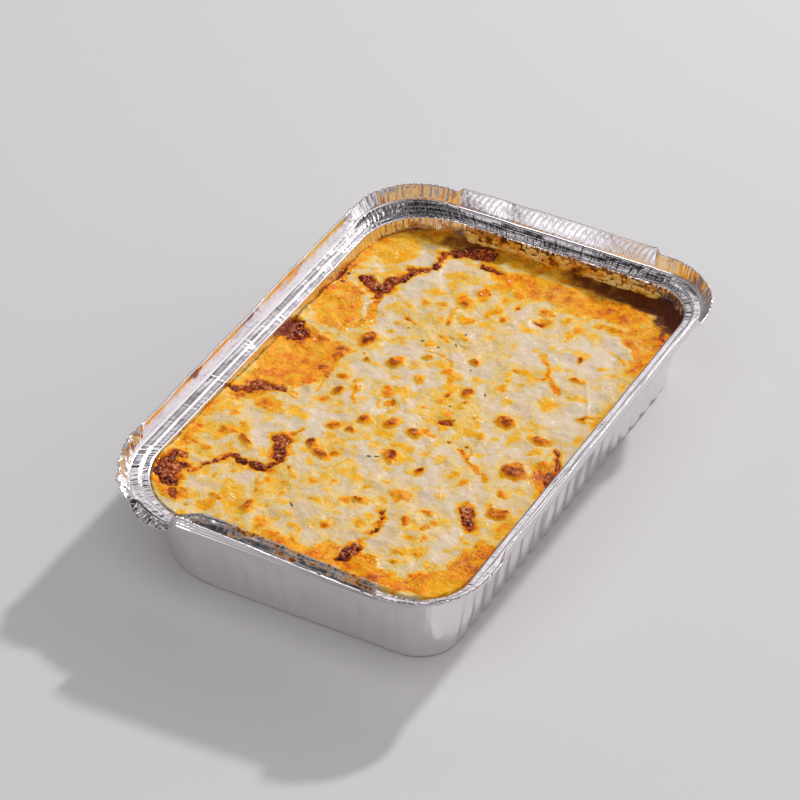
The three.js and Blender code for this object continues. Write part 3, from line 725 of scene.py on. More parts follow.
YELLOW_PATCHES = [
    (-55, 86, 9, 14), (-15, 40, 17, 9, -20, 0.55), (8, 43, 9, 14, 0, 0.4), (13, 0, 14, 13, 0, 0.6),
    (-63, -20, 5, 50, 0, 0.6), (12, -57, 30, 7, 0, 0.25), (10, -80, 30, 10, 0, 0.2),
    (-56, 84, 8, 10), (-54, 74, 3, 4), (-48, 96, 6, 5, 0, 0.6), (-26, 64, 3.5, 3, 0, 0.5),
    (-1.5, 62, 4, 5.5, 0, 0.5), (47, 83, 6, 6), (31, 68, 4, 5, 0, 0.5), (16, 73, 5, 4, 0, 0.6),
    (3, 67, 4, 3, 0, 0.35), (-40, 30.5, 3, 2), (-52, 36, 9, 6, 0, 0.5), (-31, 23, 1.6, 2),
    (9, 38, 9, 8, 0, 0.35), (13, 22, 3.5, 2.5), (9, 14, 1.4, 2.6), (15, 47, 1.4, 2, 0, 0.7),
    (-26, 44, 8, 4, -30, 0.6), (-39, 19, 2, 1.5), (-60, -11, 3, 2.5), (-42, -31.5, 3, 2.5),
    (-60, -36, 5, 4, 0, 0.8), (-57, -52, 5, 4), (-52, -52, 5, 3), (-38, -39.5, 1, 1),
    (-34, -17.5, 2.2, 1.7), (-45, -23, 8, 4, 0, 0.35), (-2, -26.5, 2.4, 2), (0, -33, 2, 2.4),
    (18, -28.5, 2.8, 2, -30), (9, -34, 6, 5, 0, 0.4), (-13, -37, 1.4, 1.2), (-5.5, -38, 1.4, 1.2),
    (-2.5, -49.5, 1.4, 1.2), (14, -4, 11, 9, 0, 0.6), (24, -7, 5, 8, 0, 0.8),
    (28, -17, 6, 5, 0, 0.5), (31, -10.5, 4, 4, 0, 0.6), (35.5, -9, 2, 2, 0, 0.7), (29, 14, 3, 2.4),
    (52, -8, 4, 2.6), (51.5, 50.5, 1.4, 1.2), (56, 48.5, 1.4, 1.2), (62.5, 43.5, 1, 2.5),
    (62.3, 24.3, 1.4, 2), (63, 5, 3, 4, 0, 0.7), (-33, -83, 4, 5), (-28, -88, 5, 5, 0, 0.8),
    (-21, -70, 8, 13, 0, 0.5), (-47, -58, 1.2, 2), (7.5, -79.5, 4, 3, 0, 0.7),
    (3, -85, 4, 2.5, 0, 0.6), (10, -68, 4, 2.5, 0, 0.7), (16.5, -59, 1.5, 1.2),
    (41.8, -87, 1.4, 1.2), (49.5, -86.5, 2.2, 1.2), (50, -90, 3, 2.5), (9, -98, 5, 3),
    (40, -100.5, 20, 2.4), (63, -54, 4, 9, 0, 0.8), (-54, -74, 5.5, 5, 0, 0.35),
    (36, -62, 5, 4.5, 0, 0.3), (-9, -72.5, 3.4, 3, 0, 0.6),
]
# Browned blisters, which also stand up from the cheese.
BLISTERS = [
    (-14, 62, 3.2, 2.2), (-35.5, 24.5, 3.4, 4.6), (-18.5, 17, 4.5, 3.2, 55, 0.85),
    (-10, 25, 2, 1.8), (-32, 16, 0.7, 0.7), (-29, 12.5, 1.3, 1.3), (-6, 11, 2.6, 3, 0, 0.8),
    (-29.5, -10, 2, 3), (-1, -18.5, 4.3, 2.6, 75), (9.5, -20, 3.3, 3), (-11.5, -21.5, 2.8, 2.6),
    (-20, -29, 4, 2.4, 30), (-12.5, -29, 1.4, 1.2, 0, 0.8), (8, -36, 3.8, 3.6),
    (20.5, -37.5, 2, 3.2), (-20.5, -43, 3, 2.8), (-15.5, -47, 4.4, 3, -35),
    (-11.5, -44.5, 2.3, 1.6), (8, 31, 2, 1.5), (14.3, 12.3, 2.8, 3.4), (17, 6.5, 1.3, 1.8),
    (45.5, 38, 1.8, 1.6), (35, 2.5, 4.3, 3.8), (50.8, -0.3, 4, 2.8), (51, -22, 5.1, 5.6),
    (57.5, -47.5, 4, 3.5), (31, -10.5, 2.6, 2.4, 0, 0.6), (-43.3, -52.8, 5.4, 2, -49),
    (-22.5, -86.5, 3.1, 4.3), (10.5, -64, 3.3, 2.3), (6.5, -82, 2.2, 1.9, 0, 0.7),
    (22.5, -54, 2.2, 3, 0, 0.7), (-1.5, 40.5, 2.6, 1.7, 0, 0.5), (-36, -87, 2.8, 1.8, 0, 0.8),
    (-12.5, -93.5, 2, 2.4, 0, 0.8), (31, -67, 2.4, 1.4, -45, 0.7), (39, -67.5, 1.3, 1.5, 0, 0.7),
    (35, -58.5, 1.9, 1.1, 0, 0.7), (16.7, -77, 1.1, 1.9, 0, 0.6), (43, -81, 1.1, 0.9, 0, 0.6),
    (36.5, -83.5, 1.4, 1, 0, 0.6), (38.5, -88.5, 1.1, 0.9, 0, 0.6), (53.5, -36, 2.6, 1.1, -25, 0.7),
    (-54, -50, 2.4, 1.6, 0, 0.6), (44, 76, 2.4, 1.2, 0, 0.6), (-26.5, -1.5, 1.4, 1.5, 0, 0.7),
    (-32, -0.5, 1.8, 1.1, 0, 0.6), (25.5, 72, 1.2, 1.5, 0, 0.7),
]
BROWN_PATCHES = [
    (-8, 72, 1, 1.6), (5.3, 69.7, 0.9, 1.3), (2, 79, 2, 1.5, 0, 0.7), (17, 65.3, 2, 1.2),
    (38, 75, 1.6, 1.4, 0, 0.8), (40.7, 51, 0.8, 1.8), (61, 80, 1.4, 3.4), (62, 78, 1.2, 1.5),
    (57, 88, 2, 1.6, 0, 0.6), (-50, 27, 3.6, 2.2, 0, 0.6), (-40.5, 15, 3.4, 2),
    (-41, 8.5, 1.5, 1.3), (-41.5, 2, 3, 2.4), (-39, -1, 2, 1.4), (-37.5, -3.5, 1.4, 1.3),
    (-62, 1, 3, 2, 0, 0.6), (-59, -29, 2.4, 1.4), (-59, -32, 1.2, 1.1), (-60, -33.5, 0.7, 0.7),
    (-43.5, -18.5, 2.4, 1.4, 0, 0.7), (-48.5, -29.5, 3, 1.8, 0, 0.8), (-13.5, 0.5, 1.4, 1.2),
    (-8.5, -7, 2.4, 1.8, 0, 0.8), (-28, 43.5, 1.6, 1, -20), (-24.5, 42, 1.5, 1, -20),
    (-30.5, 33.5, 1.6, 1.4, 0, 0.7), (-31, 40, 0.9, 0.8, 0, 0.7), (-13, 33, 1.7, 2.1, 0, 0.6),
    (10.5, -9, 2.8, 1.8, 0, 0.5), (4.5, -3.5, 1, 1), (16, 2, 2.6, 1.4, 0, 0.5),
    (21, 4, 1.6, 1.1, 0, 0.5), (23, 2, 1.3, 1, 0, 0.5), (12, -3, 1.3, 1, 0, 0.5),
    (16, -12.5, 1.6, 1.1, 0, 0.6), (25.5, 33.3, 3.4, 1.1, 0, 0.7), (43, 20.5, 2.2, 3, 0, 0.6),
    (-53, -88, 4, 3.4, 0, 0.45), (-42.5, -96, 0.8, 0.8), (-5.5, -72.3, 1.2, 0.8),
    (0.5, -96, 2, 1.2, 0, 0.7), (18, -98, 3, 1.6, 0, 0.6), (-25, -71, 1.4, 4, 0, 0.6),
    (-20.5, -60, 1, 0.9), (-18.5, -68, 1, 1.3), (22.2, -18, 0.8, 0.8), (29.3, -17.5, 0.8, 0.8),
    (50.8, -10, 0.7, 0.7), (24.5, -1, 0.6, 0.6), (-25.5, 38.5, 0.5, 0.5),
]
BROWN_STREAKS = [
    (0.5, (-63, 22), (-60, 20.5), (-57, 20), (-53, 20.5), (-50, 21.5), (-47, 22), (-45, 24.5)),
    (0.7, (-60, 11), (-54, 9.5), (-48, 9)), (0.4, (-38, -4), (-36, -8), (-35.5, -11), (-36, -14)),
    (0.5, (-45, -20), (-42, -21), (-40, -21.5)), (0.5, (49, 74), (54, 70), (60, 62), (66, 53)),
    (0.4, (-14.5, 0), (-11, 2.5), (-6, 1.5)), (0.4, (-13.5, -6), (-12, -9), (-10.5, -12)),
    (0.35, (-12, 29), (-8, 29.5), (-4, 28), (-1, 26.5), (0.5, 24)), (0.5, (-12.5, 40), (-6, 37)),
    (0.4, (32.5, 31.5), (35.5, 33)), (0.35, (25, 79), (28, 78.5)), (0.5, (57, 17), (62.5, 18.5)),
    (0.5, (31, -18), (32.5, -20), (33, -24.5)), (0.4, (-29.5, -67), (-27, -73), (-24, -78)),
    (0.5, (-21, -59.5), (-15.5, -66)), (0.5, (47, 63.5), (50, 61), (53, 59.5), (57, 57)),
    (0.5, (4.5, 17), (6, 13)), (0.5, (33, 41.5), (36.5, 35), (40, 32)),
]
# Where the red sauce shows through the cheese.
SAUCE_PATCHES = [
    (-48, 57, 5, 3.4), (-45, 59, 2.5, 2.5), (-46, 63, 2.5, 2.5), (-42, 73, 2.5, 2.3),
    (-33, 92, 2.5, 2.2), (-29, 94, 3, 2.4), (-25, 96, 4, 3), (-21, 96, 3.4, 3.5), (-66, 57, 2, 4),
    (-64, 19, 3.5, 3.5), (-61.5, 16, 4.3, 3.6), (-66, 12, 2, 3), (-56, -20.5, 2.6, 2.7),
    (-52, -19.5, 2.6, 1.5), (-58, -22, 3, 3), (-63, -26.5, 2.6, 1.6), (-60, -25, 2.5, 2),
    (-28.5, -54, 3, 4.6, 10), (-31.5, -46, 3.4, 2.6), (-30, -49, 2.6, 3), (-32, -64.5, 3.4, 1.2),
    (49.2, -54.2, 5.8, 2.3, -50), (22, -87.5, 1.8, 2.5), (21.5, -92, 2.3, 4),
    (64, -17, 1.6, 2.6, 50), (64.5, -21, 1.8, 4), (15.5, -8.5, 2.8, 2.2, 0, 0.8),
    (-62, -76.5, 3, 4.5), (-58.5, -82, 4.5, 5), (-56, -77, 3, 2.5), (-61, -71.5, 3, 2.4),
    (-55, -87.5, 5, 3.6, -50), (-50.5, -92.5, 4, 2.2, -40, 0.8),
]
SAUCE_STREAKS = [
    (1.8, (-48, 57), (-56, 59)), (1.4, (-48, 57), (-46, 50.5)), (1.4, (-44, 66), (-42, 70)),
    (1.0, (-42, 73), (-37, 75.5), (-35.5, 78), (-35.5, 82), (-36, 86), (-37.5, 89), (-33, 92)),
    (1.3, (-19, 89), (-16, 89), (-13, 88)), (1.0, (-52, -19.5), (-48, -19)),
    (0.5, (-28.5, -37.5), (-29.5, -40), (-31, -43)), (1.2, (-26, -58), (-28.5, -62), (-32, -64.5)),
    (0.9, (-45, -66), (-43.5, -63), (-36, -64.5)), (0.5, (-50, -73.5), (-46.5, -70), (-45, -66)),
    (0.6, (20.3, -65.5), (22, -68), (23, -73), (24, -76), (23, -79.5)),
    (0.7, (58.5, -2.5), (61, -6.5), (63.5, -11), (65, -14)), (0.6, (-50, -75), (-51, -79)),
    (1.0, (21.5, -92), (20, -96.5)),
]
# Folds and bubble rims that stand up from the cheese, the rims as centre and radius.
PALE_RIDGES = [
    (0.8, (-47, 75), (-44, 76)), (0.6, (-65, 24), (-65, 46)), (0.6, (-65, -5), (-65, 10)),
    (0.6, (-48, 44), (-44, 36)), (0.6, (-53, 18), (-49, 18.5)), (0.5, (-44, -2.5), (-41.5, -6)),
    (0.7, (48, 68), (53, 66)), (0.5, (-8.5, 41.5), (-6, 40)), (0.5, (-17, -67), (-14, -70)),
    (0.5, (-40, -12), (-38, -15)), (0.6, (56, 8), (58, 7)), (0.7, (66, -88), (65, -82)),
    (0.6, (-40.5, -66.5), (-38.5, -67.5)), (0.6, (49, 40), (57, 26)), (0.5, (57, 26), (60, 18)),
]
CHEESE_RINGS = [
    (-54.5, -74.5, 4.3), (36, -62.5, 3.4), (-1.5, 40.5, 2.6), (31, -10.5, 2.8),
]
# The dark baked crust along the back and in the corners; along the back it also stands in for the
# back wall's shadow as painted shade.
CRUST_AND_SHADE_PATCHES = [
    (-26, 97, 7, 5), (58, 92, 5, 7, 20), (62.5, 86, 3, 6), (-50, -96.5, 4, 1.6, -30, 0.5),
]
# How dark the far strip is along x: baked crust, and painted shade of the back wall's shadow,
# darkest towards +X.
FAR_CRUST_AND_SHADE = [
    (-66, 0.5), (-45, 0.6), (-30, 0.85), (-20, 0.75), (-10, 0.45), (5, 0.5), (20, 0.75), (35, 1.0),
    (50, 1.2), (66, 1.2),
]


def patches(x, y, entries, low, high, ragged, seed):
    """The highest strength at each point of a set of patches with uneven edges, each of
    them rising from low to high millimetres inside its outline."""
    value = np.zeros_like(x)
    wobble = layered(x, y, [(1.0, 2.6, seed), (0.7, 1.3, seed + 1)])
    for cx, cy, length, width, *rest in entries:
        turn, strength = (*rest, *(0, 1)[len(rest):])
        size = min(length, width)
        reach = max(length, width) * (1 - low / size) + 2
        near = (np.abs(x - cx) < reach) & (np.abs(y - cy) < reach)
        dx, dy = x[near] - cx, y[near] - cy
        c, s = math.cos(math.radians(turn)), math.sin(math.radians(turn))
        distance = np.hypot((dx * c + dy * s) / length, (dy * c - dx * s) / width)
        depth = (1 - distance) * size + min(ragged, 0.4 * size) * wobble[near]
        here = strength * smoothstep(low, min(high, 0.7 * size), depth)
        value[near] = np.maximum(value[near], here)
    return value


def streaks(x, y, entries, low=-0.5, high=0.3, ragged=0.35):
    """The same for streaks along broken lines, which fade in places."""
    value = np.zeros_like(x)
    wobble = layered(x, y, [(1.0, 1.9, 5), (0.6, 0.9, 6)])
    for width, *points in entries:
        for (ax, ay), (bx, by) in zip(points, points[1:]):
            reach = width - low + 1
            near = ((x > min(ax, bx) - reach) & (x < max(ax, bx) + reach)
                    & (y > min(ay, by) - reach) & (y < max(ay, by) + reach))
            px, py = x[near] - ax, y[near] - ay
            ex, ey = bx - ax, by - ay
            share = np.clip((px * ex + py * ey) / (ex * ex + ey * ey), 0, 1)
            distance = np.hypot(px - share * ex, py - share * ey)
            here = smoothstep(low, high, width - distance + ragged * wobble[near])
            value[near] = np.maximum(value[near], here)
    return value


def food_level(x, y):
    return FOOD_LEVEL + LEVEL_RISE_X * x + LEVEL_RISE_Y * y


def swelling_level(x, y):
    swells = (h * np.exp(-2 * ((x - cx) ** 2 + (y - cy) ** 2) / r ** 2) for cx, cy, r, h in SWELLS)
    return food_level(x, y) + sum(swells)


def spread_on_outline(u, v, z, inside=0.0):
    """Maps points of the square -1..1 onto the food's outline at height z, or inside it."""
    reach = np.maximum(np.abs(u), np.abs(v))
    safe = np.maximum(reach, 1e-9)
    which = np.select([(u >= 0) & (v < 0), (u >= 0) & (v >= 0), (u < 0) & (v >= 0)], [0, 1, 2], 3)
    floor, wall = np.array([[corner["floor"], corner["wall"]] for corner in CORNERS])[which].T
    inset = wall_inset(z) + CLEARANCE + inside
    radius = floor.T + (wall - floor).T * climb_at(z) - CLEARANCE - inside
    centre_x = TRAY_WIDTH / 2 - inset - radius
    centre_y = TRAY_LENGTH / 2 - inset - radius
    x = np.abs(u / safe) * (centre_x + radius)
    y = np.abs(v / safe) * (centre_y + radius)
    in_corner = (x > centre_x) & (y > centre_y)
    away = radius / np.maximum(np.hypot(x - centre_x, y - centre_y), 1e-9)
    x = np.where(in_corner, centre_x + (x - centre_x) * away, x)
    y = np.where(in_corner, centre_y + (y - centre_y) * away, y)
    return np.sign(u) * x * reach, np.sign(v) * y * reach


def food_grid(cells, drop=0.0, inside=0.0):
    """Points of a grid over the food's outline, at its level less drop, and their reach."""
    u, v = np.meshgrid(*(np.linspace(-1, 1, count + 1) for count in cells))
    level = food_level(u * TRAY_WIDTH / 2, v * TRAY_LENGTH / 2) - drop
    x, y = spread_on_outline(u, v, level, inside)
    return x.ravel(), y.ravel(), np.maximum(np.abs(u), np.abs(v)).ravel()


def closed_sheet(cells, x, y, top, base_z):
    """Points and faces of a grid with a skirt down to a flat underside."""
    across, along = cells
    index = np.arange(len(x)).reshape(along + 1, across + 1)
    quads = np.stack([index[:-1, :-1], index[:-1, 1:], index[1:, 1:], index[1:, :-1]], axis=-1)
    rim = np.concatenate([index[0, :-1], index[:-1, -1], index[-1, :0:-1], index[:0:-1, 0]])
    under = len(x) + np.arange(len(rim))
    u, v = 2 * (rim % (across + 1)) / across - 1, 2 * (rim // (across + 1)) / along - 1
    below = spread_on_outline(u, v, base_z, SKIRT_INSET)
    points = np.concatenate([
        np.stack([x, y, top], axis=1),
        np.stack([*below, np.full(len(rim), base_z)], axis=1),
        [[0, 0, base_z]],
    ])
    rim_after, under_after = np.roll(rim, -1), np.roll(under, -1)
    skirt = np.stack([under, under_after, rim_after, rim], axis=1)
    fan = np.stack([np.full(len(rim), len(points) - 1), under_after, under], axis=1)
    return points, np.concatenate([quads.reshape(-1, 4), skirt]), fan


# ---- Cheese topping -------------------------------------------------------------------

CHEESE_CELLS = (232, 372)
SAUCE_CELLS = (150, 240)
# Noises as amount, size and seed.
WARP_X = [(0.8, 5, 31), (0.4, 2, 32)]
WARP_Y = [(0.8, 5, 33), (0.4, 2, 34)]
GOLDEN = [(1.0, 6, 58), (0.7, 2.4, 59)]
RELIEF = [(0.55, 9, 61), (0.48, 4, 62), (0.18, 1.8, 63)]
ROUGH_RELIEF = [(0.14, 1.7, 64), (0.05, 0.9, 65)]
SAUCE_RELIEF = [(0.4, 2.2, 71), (0.3, 1.2, 72)]


def browning(x, y):
    """How far the surface is baked, from 0 for pale cheese to 1.2 for a dark blister, where
    the sauce shows, where the edge is crusted and, along the back, darkened as painted shade,
    how rough it all is, and the blisters."""
    wx, wy = x + layered(x, y, WARP_X), y + layered(x, y, WARP_Y)
    spots, lines = partial(patches, wx, wy), partial(streaks, wx, wy)

    def uneven(base, *layers):
        return base + layered(x, y, layers)
    sauce = np.maximum(spots(SAUCE_PATCHES, -0.5, 0.5, 0.7, 41),
                       lines(SAUCE_STREAKS, -0.6, 0.4, 0.9) * uneven(0.9, (0.5, 5, 67)))
    beside_sauce = np.maximum(spots(SAUCE_PATCHES, -3.0, -0.2, 1.2, 41),
                              lines(SAUCE_STREAKS, -2.2, -0.1, 0.7))
    blister = spots(BLISTERS, -0.4, 1.6, 0.45, 43)
    orange = spots(ORANGE_PATCHES, -1.2, 1.4, 1.0, 47) * uneven(1.0, (0.20, 6, 50), (0.14, 2.5, 51))
    # The strip along the back wall: baked crust, and painted shade where the back wall's shadow
    # falls on the food.
    far = smoothstep(91, 96.5, uneven(y, (1.5, 4, 52)) + 3 * smoothstep(20, 60, x))
    baked = np.max([
        0.20 * spots(ORANGE_PATCHES, -6, -0.5, 1.0, 47),
        0.42 * spots(YELLOW_PATCHES, -1.5, 1.8, 1.2, 49),
        0.64 * orange,
        0.80 * lines(ORANGE_STREAKS, -0.9, 0.5) * uneven(0.8, (0.3, 4, 48)),
        0.72 * beside_sauce,
        0.52 * spots(BLISTERS, -1.5, 0.6, 0.5, 43),
        blister * uneven(0.95, (0.30, 2.2, 66)),
        0.92 * spots(BROWN_PATCHES, -0.7, 0.8, 0.5, 45),
        0.72 * lines(BROWN_STREAKS) * uneven(0.75, (0.4, 3, 46)),
        0.55 * far,
        # Golden tint at random, fading towards +X; the whiter cheese there is partly a painted
        # sheen of the key light.
        0.36 * smoothstep(-0.25, 0.95, layered(x, y, GOLDEN) - 0.006 * x),
    ], axis=0)
    crust_and_shade = np.maximum(spots(CRUST_AND_SHADE_PATCHES, -2, 2, 1.0, 53),
                       far * uneven(np.interp(x, *zip(*FAR_CRUST_AND_SHADE)), (0.2, 4, 54)))
    rough = np.clip(np.max([baked, 0.9 * sauce, 0.8 * crust_and_shade], axis=0), 0, 1)
    return dict(baked=baked, sauce=sauce, crust_and_shade=crust_and_shade, rough=rough), blister


def cheese_height(x, y, reach, mask, dome):
    """The top of the cheese: swells, blisters, soft dimples, and a lip at the foil."""
    rings = sum(np.exp(-((np.hypot(x - cx, y - cy) - r) / 0.7) ** 2) for cx, cy, r in CHEESE_RINGS)
    z = swelling_level(x, y) + layered(x, y, RELIEF) + 0.6 * reach ** 40
    z = z + dome ** 1.3 - 0.35 * np.minimum(mask["baked"], 0.8) * (1 - dome)
    z = z + 0.35 * (streaks(x, y, PALE_RIDGES) + rings)
    z = z + (0.12 + 0.88 * mask["rough"]) * layered(x, y, ROUGH_RELIEF)
    return z - 1.1 * smoothstep(0.3, 0.9, mask["sauce"])


def cheese_topping():
    x, y, reach = food_grid(CHEESE_CELLS)
    mask, blister = browning(x, y)
    top = cheese_height(x, y, reach, mask, blister)
    points, quads, fan = closed_sheet(CHEESE_CELLS, x, y, top, FOOD_LEVEL - CHEESE_DEPTH)
    hidden = np.zeros(len(points) - len(x))
    mask = {key: np.concatenate([value, hidden]) for key, value in mask.items()}
    piece = make_mesh("melted_cheese", cheese_material(), points, quads, fan, **mask)
    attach(piece, "root")
    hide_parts("cheese_topping")


def sauce_height(x, y):
    """The sauce's own surface, with its lumps of mince."""
    return swelling_level(x, y) - 0.35 + layered(x, y, SAUCE_RELIEF)


def lasagne():
    """The sauce and pasta, sunk where the cheese covers them."""
    x, y, _ = food_grid(SAUCE_CELLS, 1.5, 0.8)
    mask, _ = browning(x, y)
    top = sauce_height(x, y) - 3.2 * smoothstep(0.4, 0.05, mask["sauce"])
    points, quads, fan = closed_sheet(SAUCE_CELLS, x, y, top, FOIL + 0.4)
    piece = make_mesh("meat_sauce", sauce_material(), points, quads, fan)
    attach(piece, "root")
    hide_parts("lasagne")


# ---- Food materials -------------------------------------------------------------------

# From pale cheese to a dark blister: how far baked, colour.
BAKED_COLOURS = [
    (0.00, (0.77, 0.635, 0.46)), (0.12, (0.78, 0.575, 0.32)), (0.25, (0.86, 0.58, 0.17)),
    (0.38, (0.93, 0.48, 0.02)), (0.58, (0.95, 0.37, 0.003)), (0.76, (0.88, 0.22, 0.001)),
    (0.90, (0.56, 0.115, 0.004)), (1.04, (0.36, 0.060, 0.008)), (1.25, (0.17, 0.024, 0.006)),
]
# Colour of the baked crust, also laid on along the back as painted shade.
CRUST_AND_SHADE_BROWN = (0.10, 0.018, 0.003, 1)
BLUSH = (0.80, 0.60, 0.44, 1)
SAUCE_EDGE = (0.62, 0.14, 0.006, 1)
SAUCE_RED = (0.32, 0.035, 0.006, 1)
SAUCE_DARK = (0.05, 0.006, 0.006, 1)
SAUCE_LIGHT = (0.54, 0.11, 0.010, 1)
MINCE_COLOURS = [(0.58, (0.05, 0.006, 0.008)), (0.68, (0.28, 0.032, 0.008)),
                 (0.76, (0.54, 0.10, 0.010)), (0.88, (0.80, 0.36, 0.12))]
WALL_CRUST_COLOURS = [(0.50, (0.08, 0.014, 0.003)), (0.60, (0.42, 0.11, 0.008)),
                      (0.70, (0.88, 0.38, 0.02)), (0.95, (0.92, 0.64, 0.22))]
HERB_DARK, HERB_LIGHT = (0.05, 0.05, 0.025, 1), (0.14, 0.13, 0.06, 1)


def cheese_material():
    n = new_material("baked_cheese")
    broad, middle, fine = n.noise(14), n.noise(4.5, 3, 0.55), n.noise(1.2, 2)
    speck, strands = n.noise(1.1, 1), n.noise(4.5, 2)
    baked, rough = n.attribute("baked"), n.attribute("rough")
    warm = n.math("MINIMUM", baked, 0.6)
    mottle = n.times(fine, 0.7, n.times(middle, 1.5, -1.1))
    tone = n.times(mottle, n.times(warm, 0.75, 0.14), baked)
    grain = n.step(n.times(broad, 0.3, speck), 0.70, 0.84)
    tone = n.times(grain, n.times(warm, 0.15, 0.08), tone)
    thread = n.step(n.math("ABSOLUTE", n.math("ADD", strands, -0.5)), 0.022, 0.004)
    tone = n.times(tone, n.times(thread, -0.35, 1.0))
    blush = n.times(n.step(broad, 0.42, 0.62), n.step(tone, 0.2, 0.05))
    colour = n.mix(n.times(blush, 0.6), n.ramp(tone, BAKED_COLOURS), BLUSH)
    # Crust colour, partly painted shade of the back wall's shadow.
    crust_and_shade = n.times(mottle, 0.3, n.attribute("crust_and_shade"))
    colour = n.mix(n.step(crust_and_shade, 0.2, 1.0), colour, CRUST_AND_SHADE_BROWN)
    sauce = n.times(mottle, 0.3, n.attribute("sauce"))
    colour = n.mix(n.step(sauce, 0.25, 0.5), colour, SAUCE_EDGE)
    colour = n.mix(n.step(sauce, 0.5, 1.0), colour, SAUCE_RED)
    height = n.times(thread, 0.25, n.times(fine, 0.5, middle))
    height = n.times(height, n.times(rough, 0.9, 0.45))
    wet = n.times(n.times(fine, 0.25, n.noise(2.2, 2)), n.times(rough, 0.7, 0.6))
    return n.shade(colour=colour, roughness=0.55, specular=0.05, coat=0.38,
                   coat_roughness=0.08, normal=n.bump(height, 0.8), coat_normal=n.bump(wet, 1.6))


def sauce_material():
    n = new_material("meat_sauce")
    broad, middle, fine = n.noise(5, 2), n.noise(1.6, 3), n.noise(0.6, 2)
    colour = n.mix(n.step(middle, 0.42, 0.62), SAUCE_RED, SAUCE_LIGHT)
    colour = n.mix(n.step(n.times(fine, 0.4, broad), 0.76, 0.9), colour, SAUCE_DARK)
    return n.shade(colour=colour, roughness=0.45, specular=0.1, coat=0.45, coat_roughness=0.08,
                   normal=n.bump(n.times(fine, 0.5, middle), 1.0),
                   coat_normal=n.bump(middle, 1.0))


def mince_material():
    n = new_material("mince")
    spots, broad = n.noise(1.2, 3), n.noise(7, 1)
    return n.shade(colour=n.ramp(n.times(broad, 0.4, spots), MINCE_COLOURS), roughness=0.5,
                   specular=0.1, coat=0.5, coat_roughness=0.08, normal=n.bump(spots, 0.6, 0.8))


def crust_material():
    n = new_material("wall_crust")
    spots, broad = n.noise(1.6, 3), n.noise(7, 1)
    return n.shade(colour=n.ramp(n.times(spots, 0.5, broad), WALL_CRUST_COLOURS), roughness=0.5,
                   specular=0.15, normal=n.bump(spots, 0.5, 0.8))


def herb_material():
    n = new_material("herbs")
    return n.shade(colour=n.mix(n.step(n.noise(0.6, 1), 0.4, 0.6), HERB_DARK, HERB_LIGHT),
                   roughness=0.7)


# ---- Loose pieces: mince in the sauce, crust on the back wall, herbs ------------------

BALL_COLUMNS, BALL_ROWS = 12, 7
MINCE_TRIES, MINCE_COUNT = 40000, 520
MINCE_RADIUS = (0.3, 1.15)
CRUST_COUNT = 300
CRUST_REACH = (-34, 50)           # along the back wall
# Dried herbs: x, y, half length, half width, turn.
HERBS = [
    (-3.6, 44, 1.0, 0.45, 90), (-3.8, 36.5, 1.3, 0.35, -50), (-16.2, 33, 0.9, 0.5, 60),
    (-9.5, 33, 0.7, 0.5, 0), (20.4, 14, 1.7, 0.4, -60), (1.3, -40.6, 1.1, 0.5, 20),
    (3.8, -39.2, 1.2, 0.4, 30), (-9.2, -78.5, 1.6, 0.45, -40), (12, 2, 0.6, 0.4, 10),
    (18, -6, 0.7, 0.35, 70), (22, -18, 0.6, 0.4, 0), (29.3, -17.5, 0.6, 0.4, 40),
    (-25.5, 38.5, 0.6, 0.4, 80), (33, -24, 0.6, 0.3, 20), (8, 26, 0.6, 0.3, 50),
]


def unit_ball():
    """Points and faces of a ball of radius 1."""
    rise = np.linspace(-np.pi / 2, np.pi / 2, BALL_ROWS + 2)[1:-1]
    a, b = np.meshgrid(np.arange(BALL_COLUMNS) / BALL_COLUMNS * 2 * np.pi, rise)
    rings = np.stack([np.cos(a) * np.cos(b), np.sin(a) * np.cos(b), np.sin(b)], axis=-1)
    points = np.concatenate([rings.reshape(-1, 3), [[0, 0, -1], [0, 0, 1]]])
    index = np.arange(BALL_COLUMNS * BALL_ROWS).reshape(BALL_ROWS, BALL_COLUMNS)
    after = np.roll(index, -1, axis=1)
    quads = np.stack([index[:-1], after[:-1], after[1:], index[1:]], axis=-1).reshape(-1, 4)
    low = np.full(BALL_COLUMNS, len(points) - 2)
    fans = np.concatenate([np.stack([low, after[0], index[0]], axis=1),
                           np.stack([low + 1, index[-1], after[-1]], axis=1)])
    return points, quads, fans


def lumps(name, material, place, size, turn, uneven, seed):
    """One mesh of uneven lumps, each with its own centre, half sizes and turn about Z."""
    ball, quads, fans = unit_ball()
    place, size = (np.stack(np.broadcast_arrays(*part), axis=1) for part in (place, size))
    bumps = np.random.default_rng(seed).uniform(-1, 1, (len(place), len(ball), 1))
    x, y, z = np.moveaxis(ball * (1 + uneven * bumps) * size[:, None], -1, 0)
    c, s = np.cos(turn)[:, None], np.sin(turn)[:, None]
    points = np.stack([x * c - y * s, x * s + y * c, z], axis=-1) + place[:, None]
    step = np.arange(len(place))[:, None, None] * len(ball)
    piece = make_mesh(name, material, points.reshape(-1, 3), (quads + step).reshape(-1, 4),
                      (fans + step).reshape(-1, 3))
    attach(piece, "root")


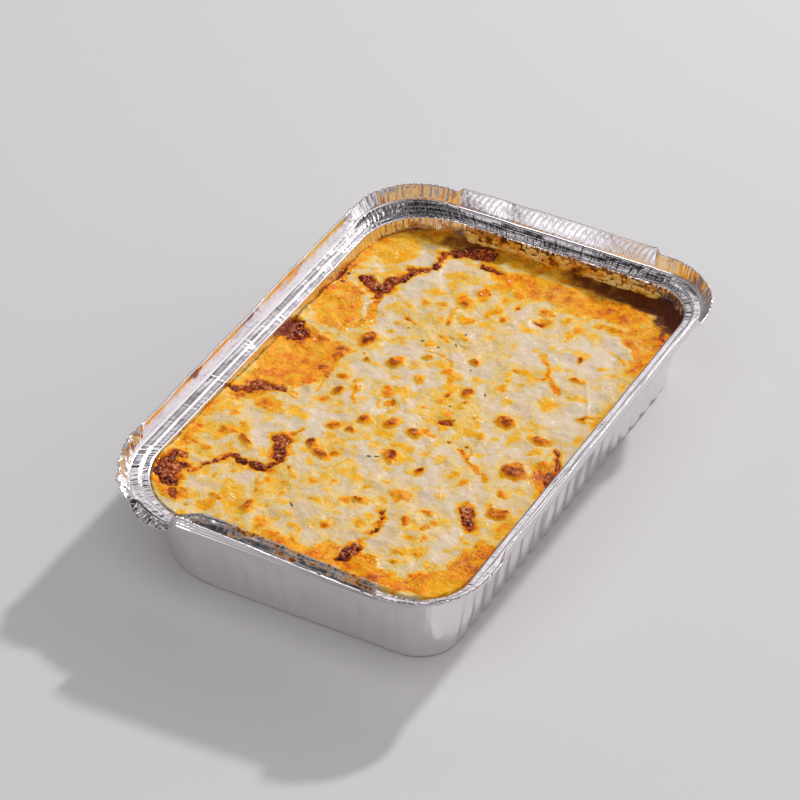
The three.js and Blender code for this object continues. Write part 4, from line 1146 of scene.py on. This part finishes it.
def mince():
    """Crumbs of mince lying in the sauce."""
    random = np.random.default_rng(81)
    x, y = random.uniform(-67, 67, MINCE_TRIES), random.uniform(-101, 101, MINCE_TRIES)
    inside = np.flatnonzero(browning(x, y)[0]["sauce"] > 0.85)[:MINCE_COUNT]
    x, y = x[inside], y[inside]
    radius = random.uniform(*MINCE_RADIUS, len(x))
    edge = TRAY_WIDTH / 2 - wall_inset(FOOD_LEVEL) - 2.0 - 1.6 * radius
    x = np.clip(x, -edge, edge)
    size = radius * random.uniform(0.9, 1.4, len(x)), radius, 0.75 * radius
    turn = random.uniform(0, 6.28, len(x))
    place = x, y, sauce_height(x, y) - 0.05 * radius
    lumps("mince", mince_material(), place, size, turn, 0.26, 82)


def wall_crust():
    """Cheese that bubbled up and baked onto the back wall."""
    random = np.random.default_rng(83)
    x = random.uniform(*CRUST_REACH, CRUST_COUNT)
    low = food_level(x, TRAY_LENGTH / 2 - LEDGE_WIDTH - 1)
    climb = random.uniform(0, 1, CRUST_COUNT) ** 1.7 * (4.2 + 1.6 * noise(x, x * 0, 9, 84))
    z = low - 0.4 + np.clip(climb, 0, LEDGE_HEIGHT - 1.2 - low)
    reach = random.uniform(0.6, 2.1, CRUST_COUNT)
    thickness = 0.25 + 0.15 * reach
    y = TRAY_LENGTH / 2 - wall_inset(z) - 0.25 - 1.2 * thickness - 0.15 * reach
    size = reach, thickness, reach * random.uniform(0.45, 0.8, CRUST_COUNT)
    turn = random.uniform(-0.1, 0.1, CRUST_COUNT)
    lumps("wall_crust", crust_material(), (x, y, z), size, turn, 0.18, 85)


def herbs():
    x, y, length, width, turn = np.array(HERBS).T
    place = x, y, cheese_height(x, y, 0 * x, *browning(x, y)) + 0.1
    size = 0.85 * length, 0.8 * width, 0.16
    lumps("herbs", herb_material(), place, size, np.radians(turn), 0.12, 86)


cheese_topping()
lasagne()
mince()
wall_crust()
herbs()

# ---- Finish ---------------------------------------------------------------------------

bpy.context.scene.view_settings.view_transform = "Standard"
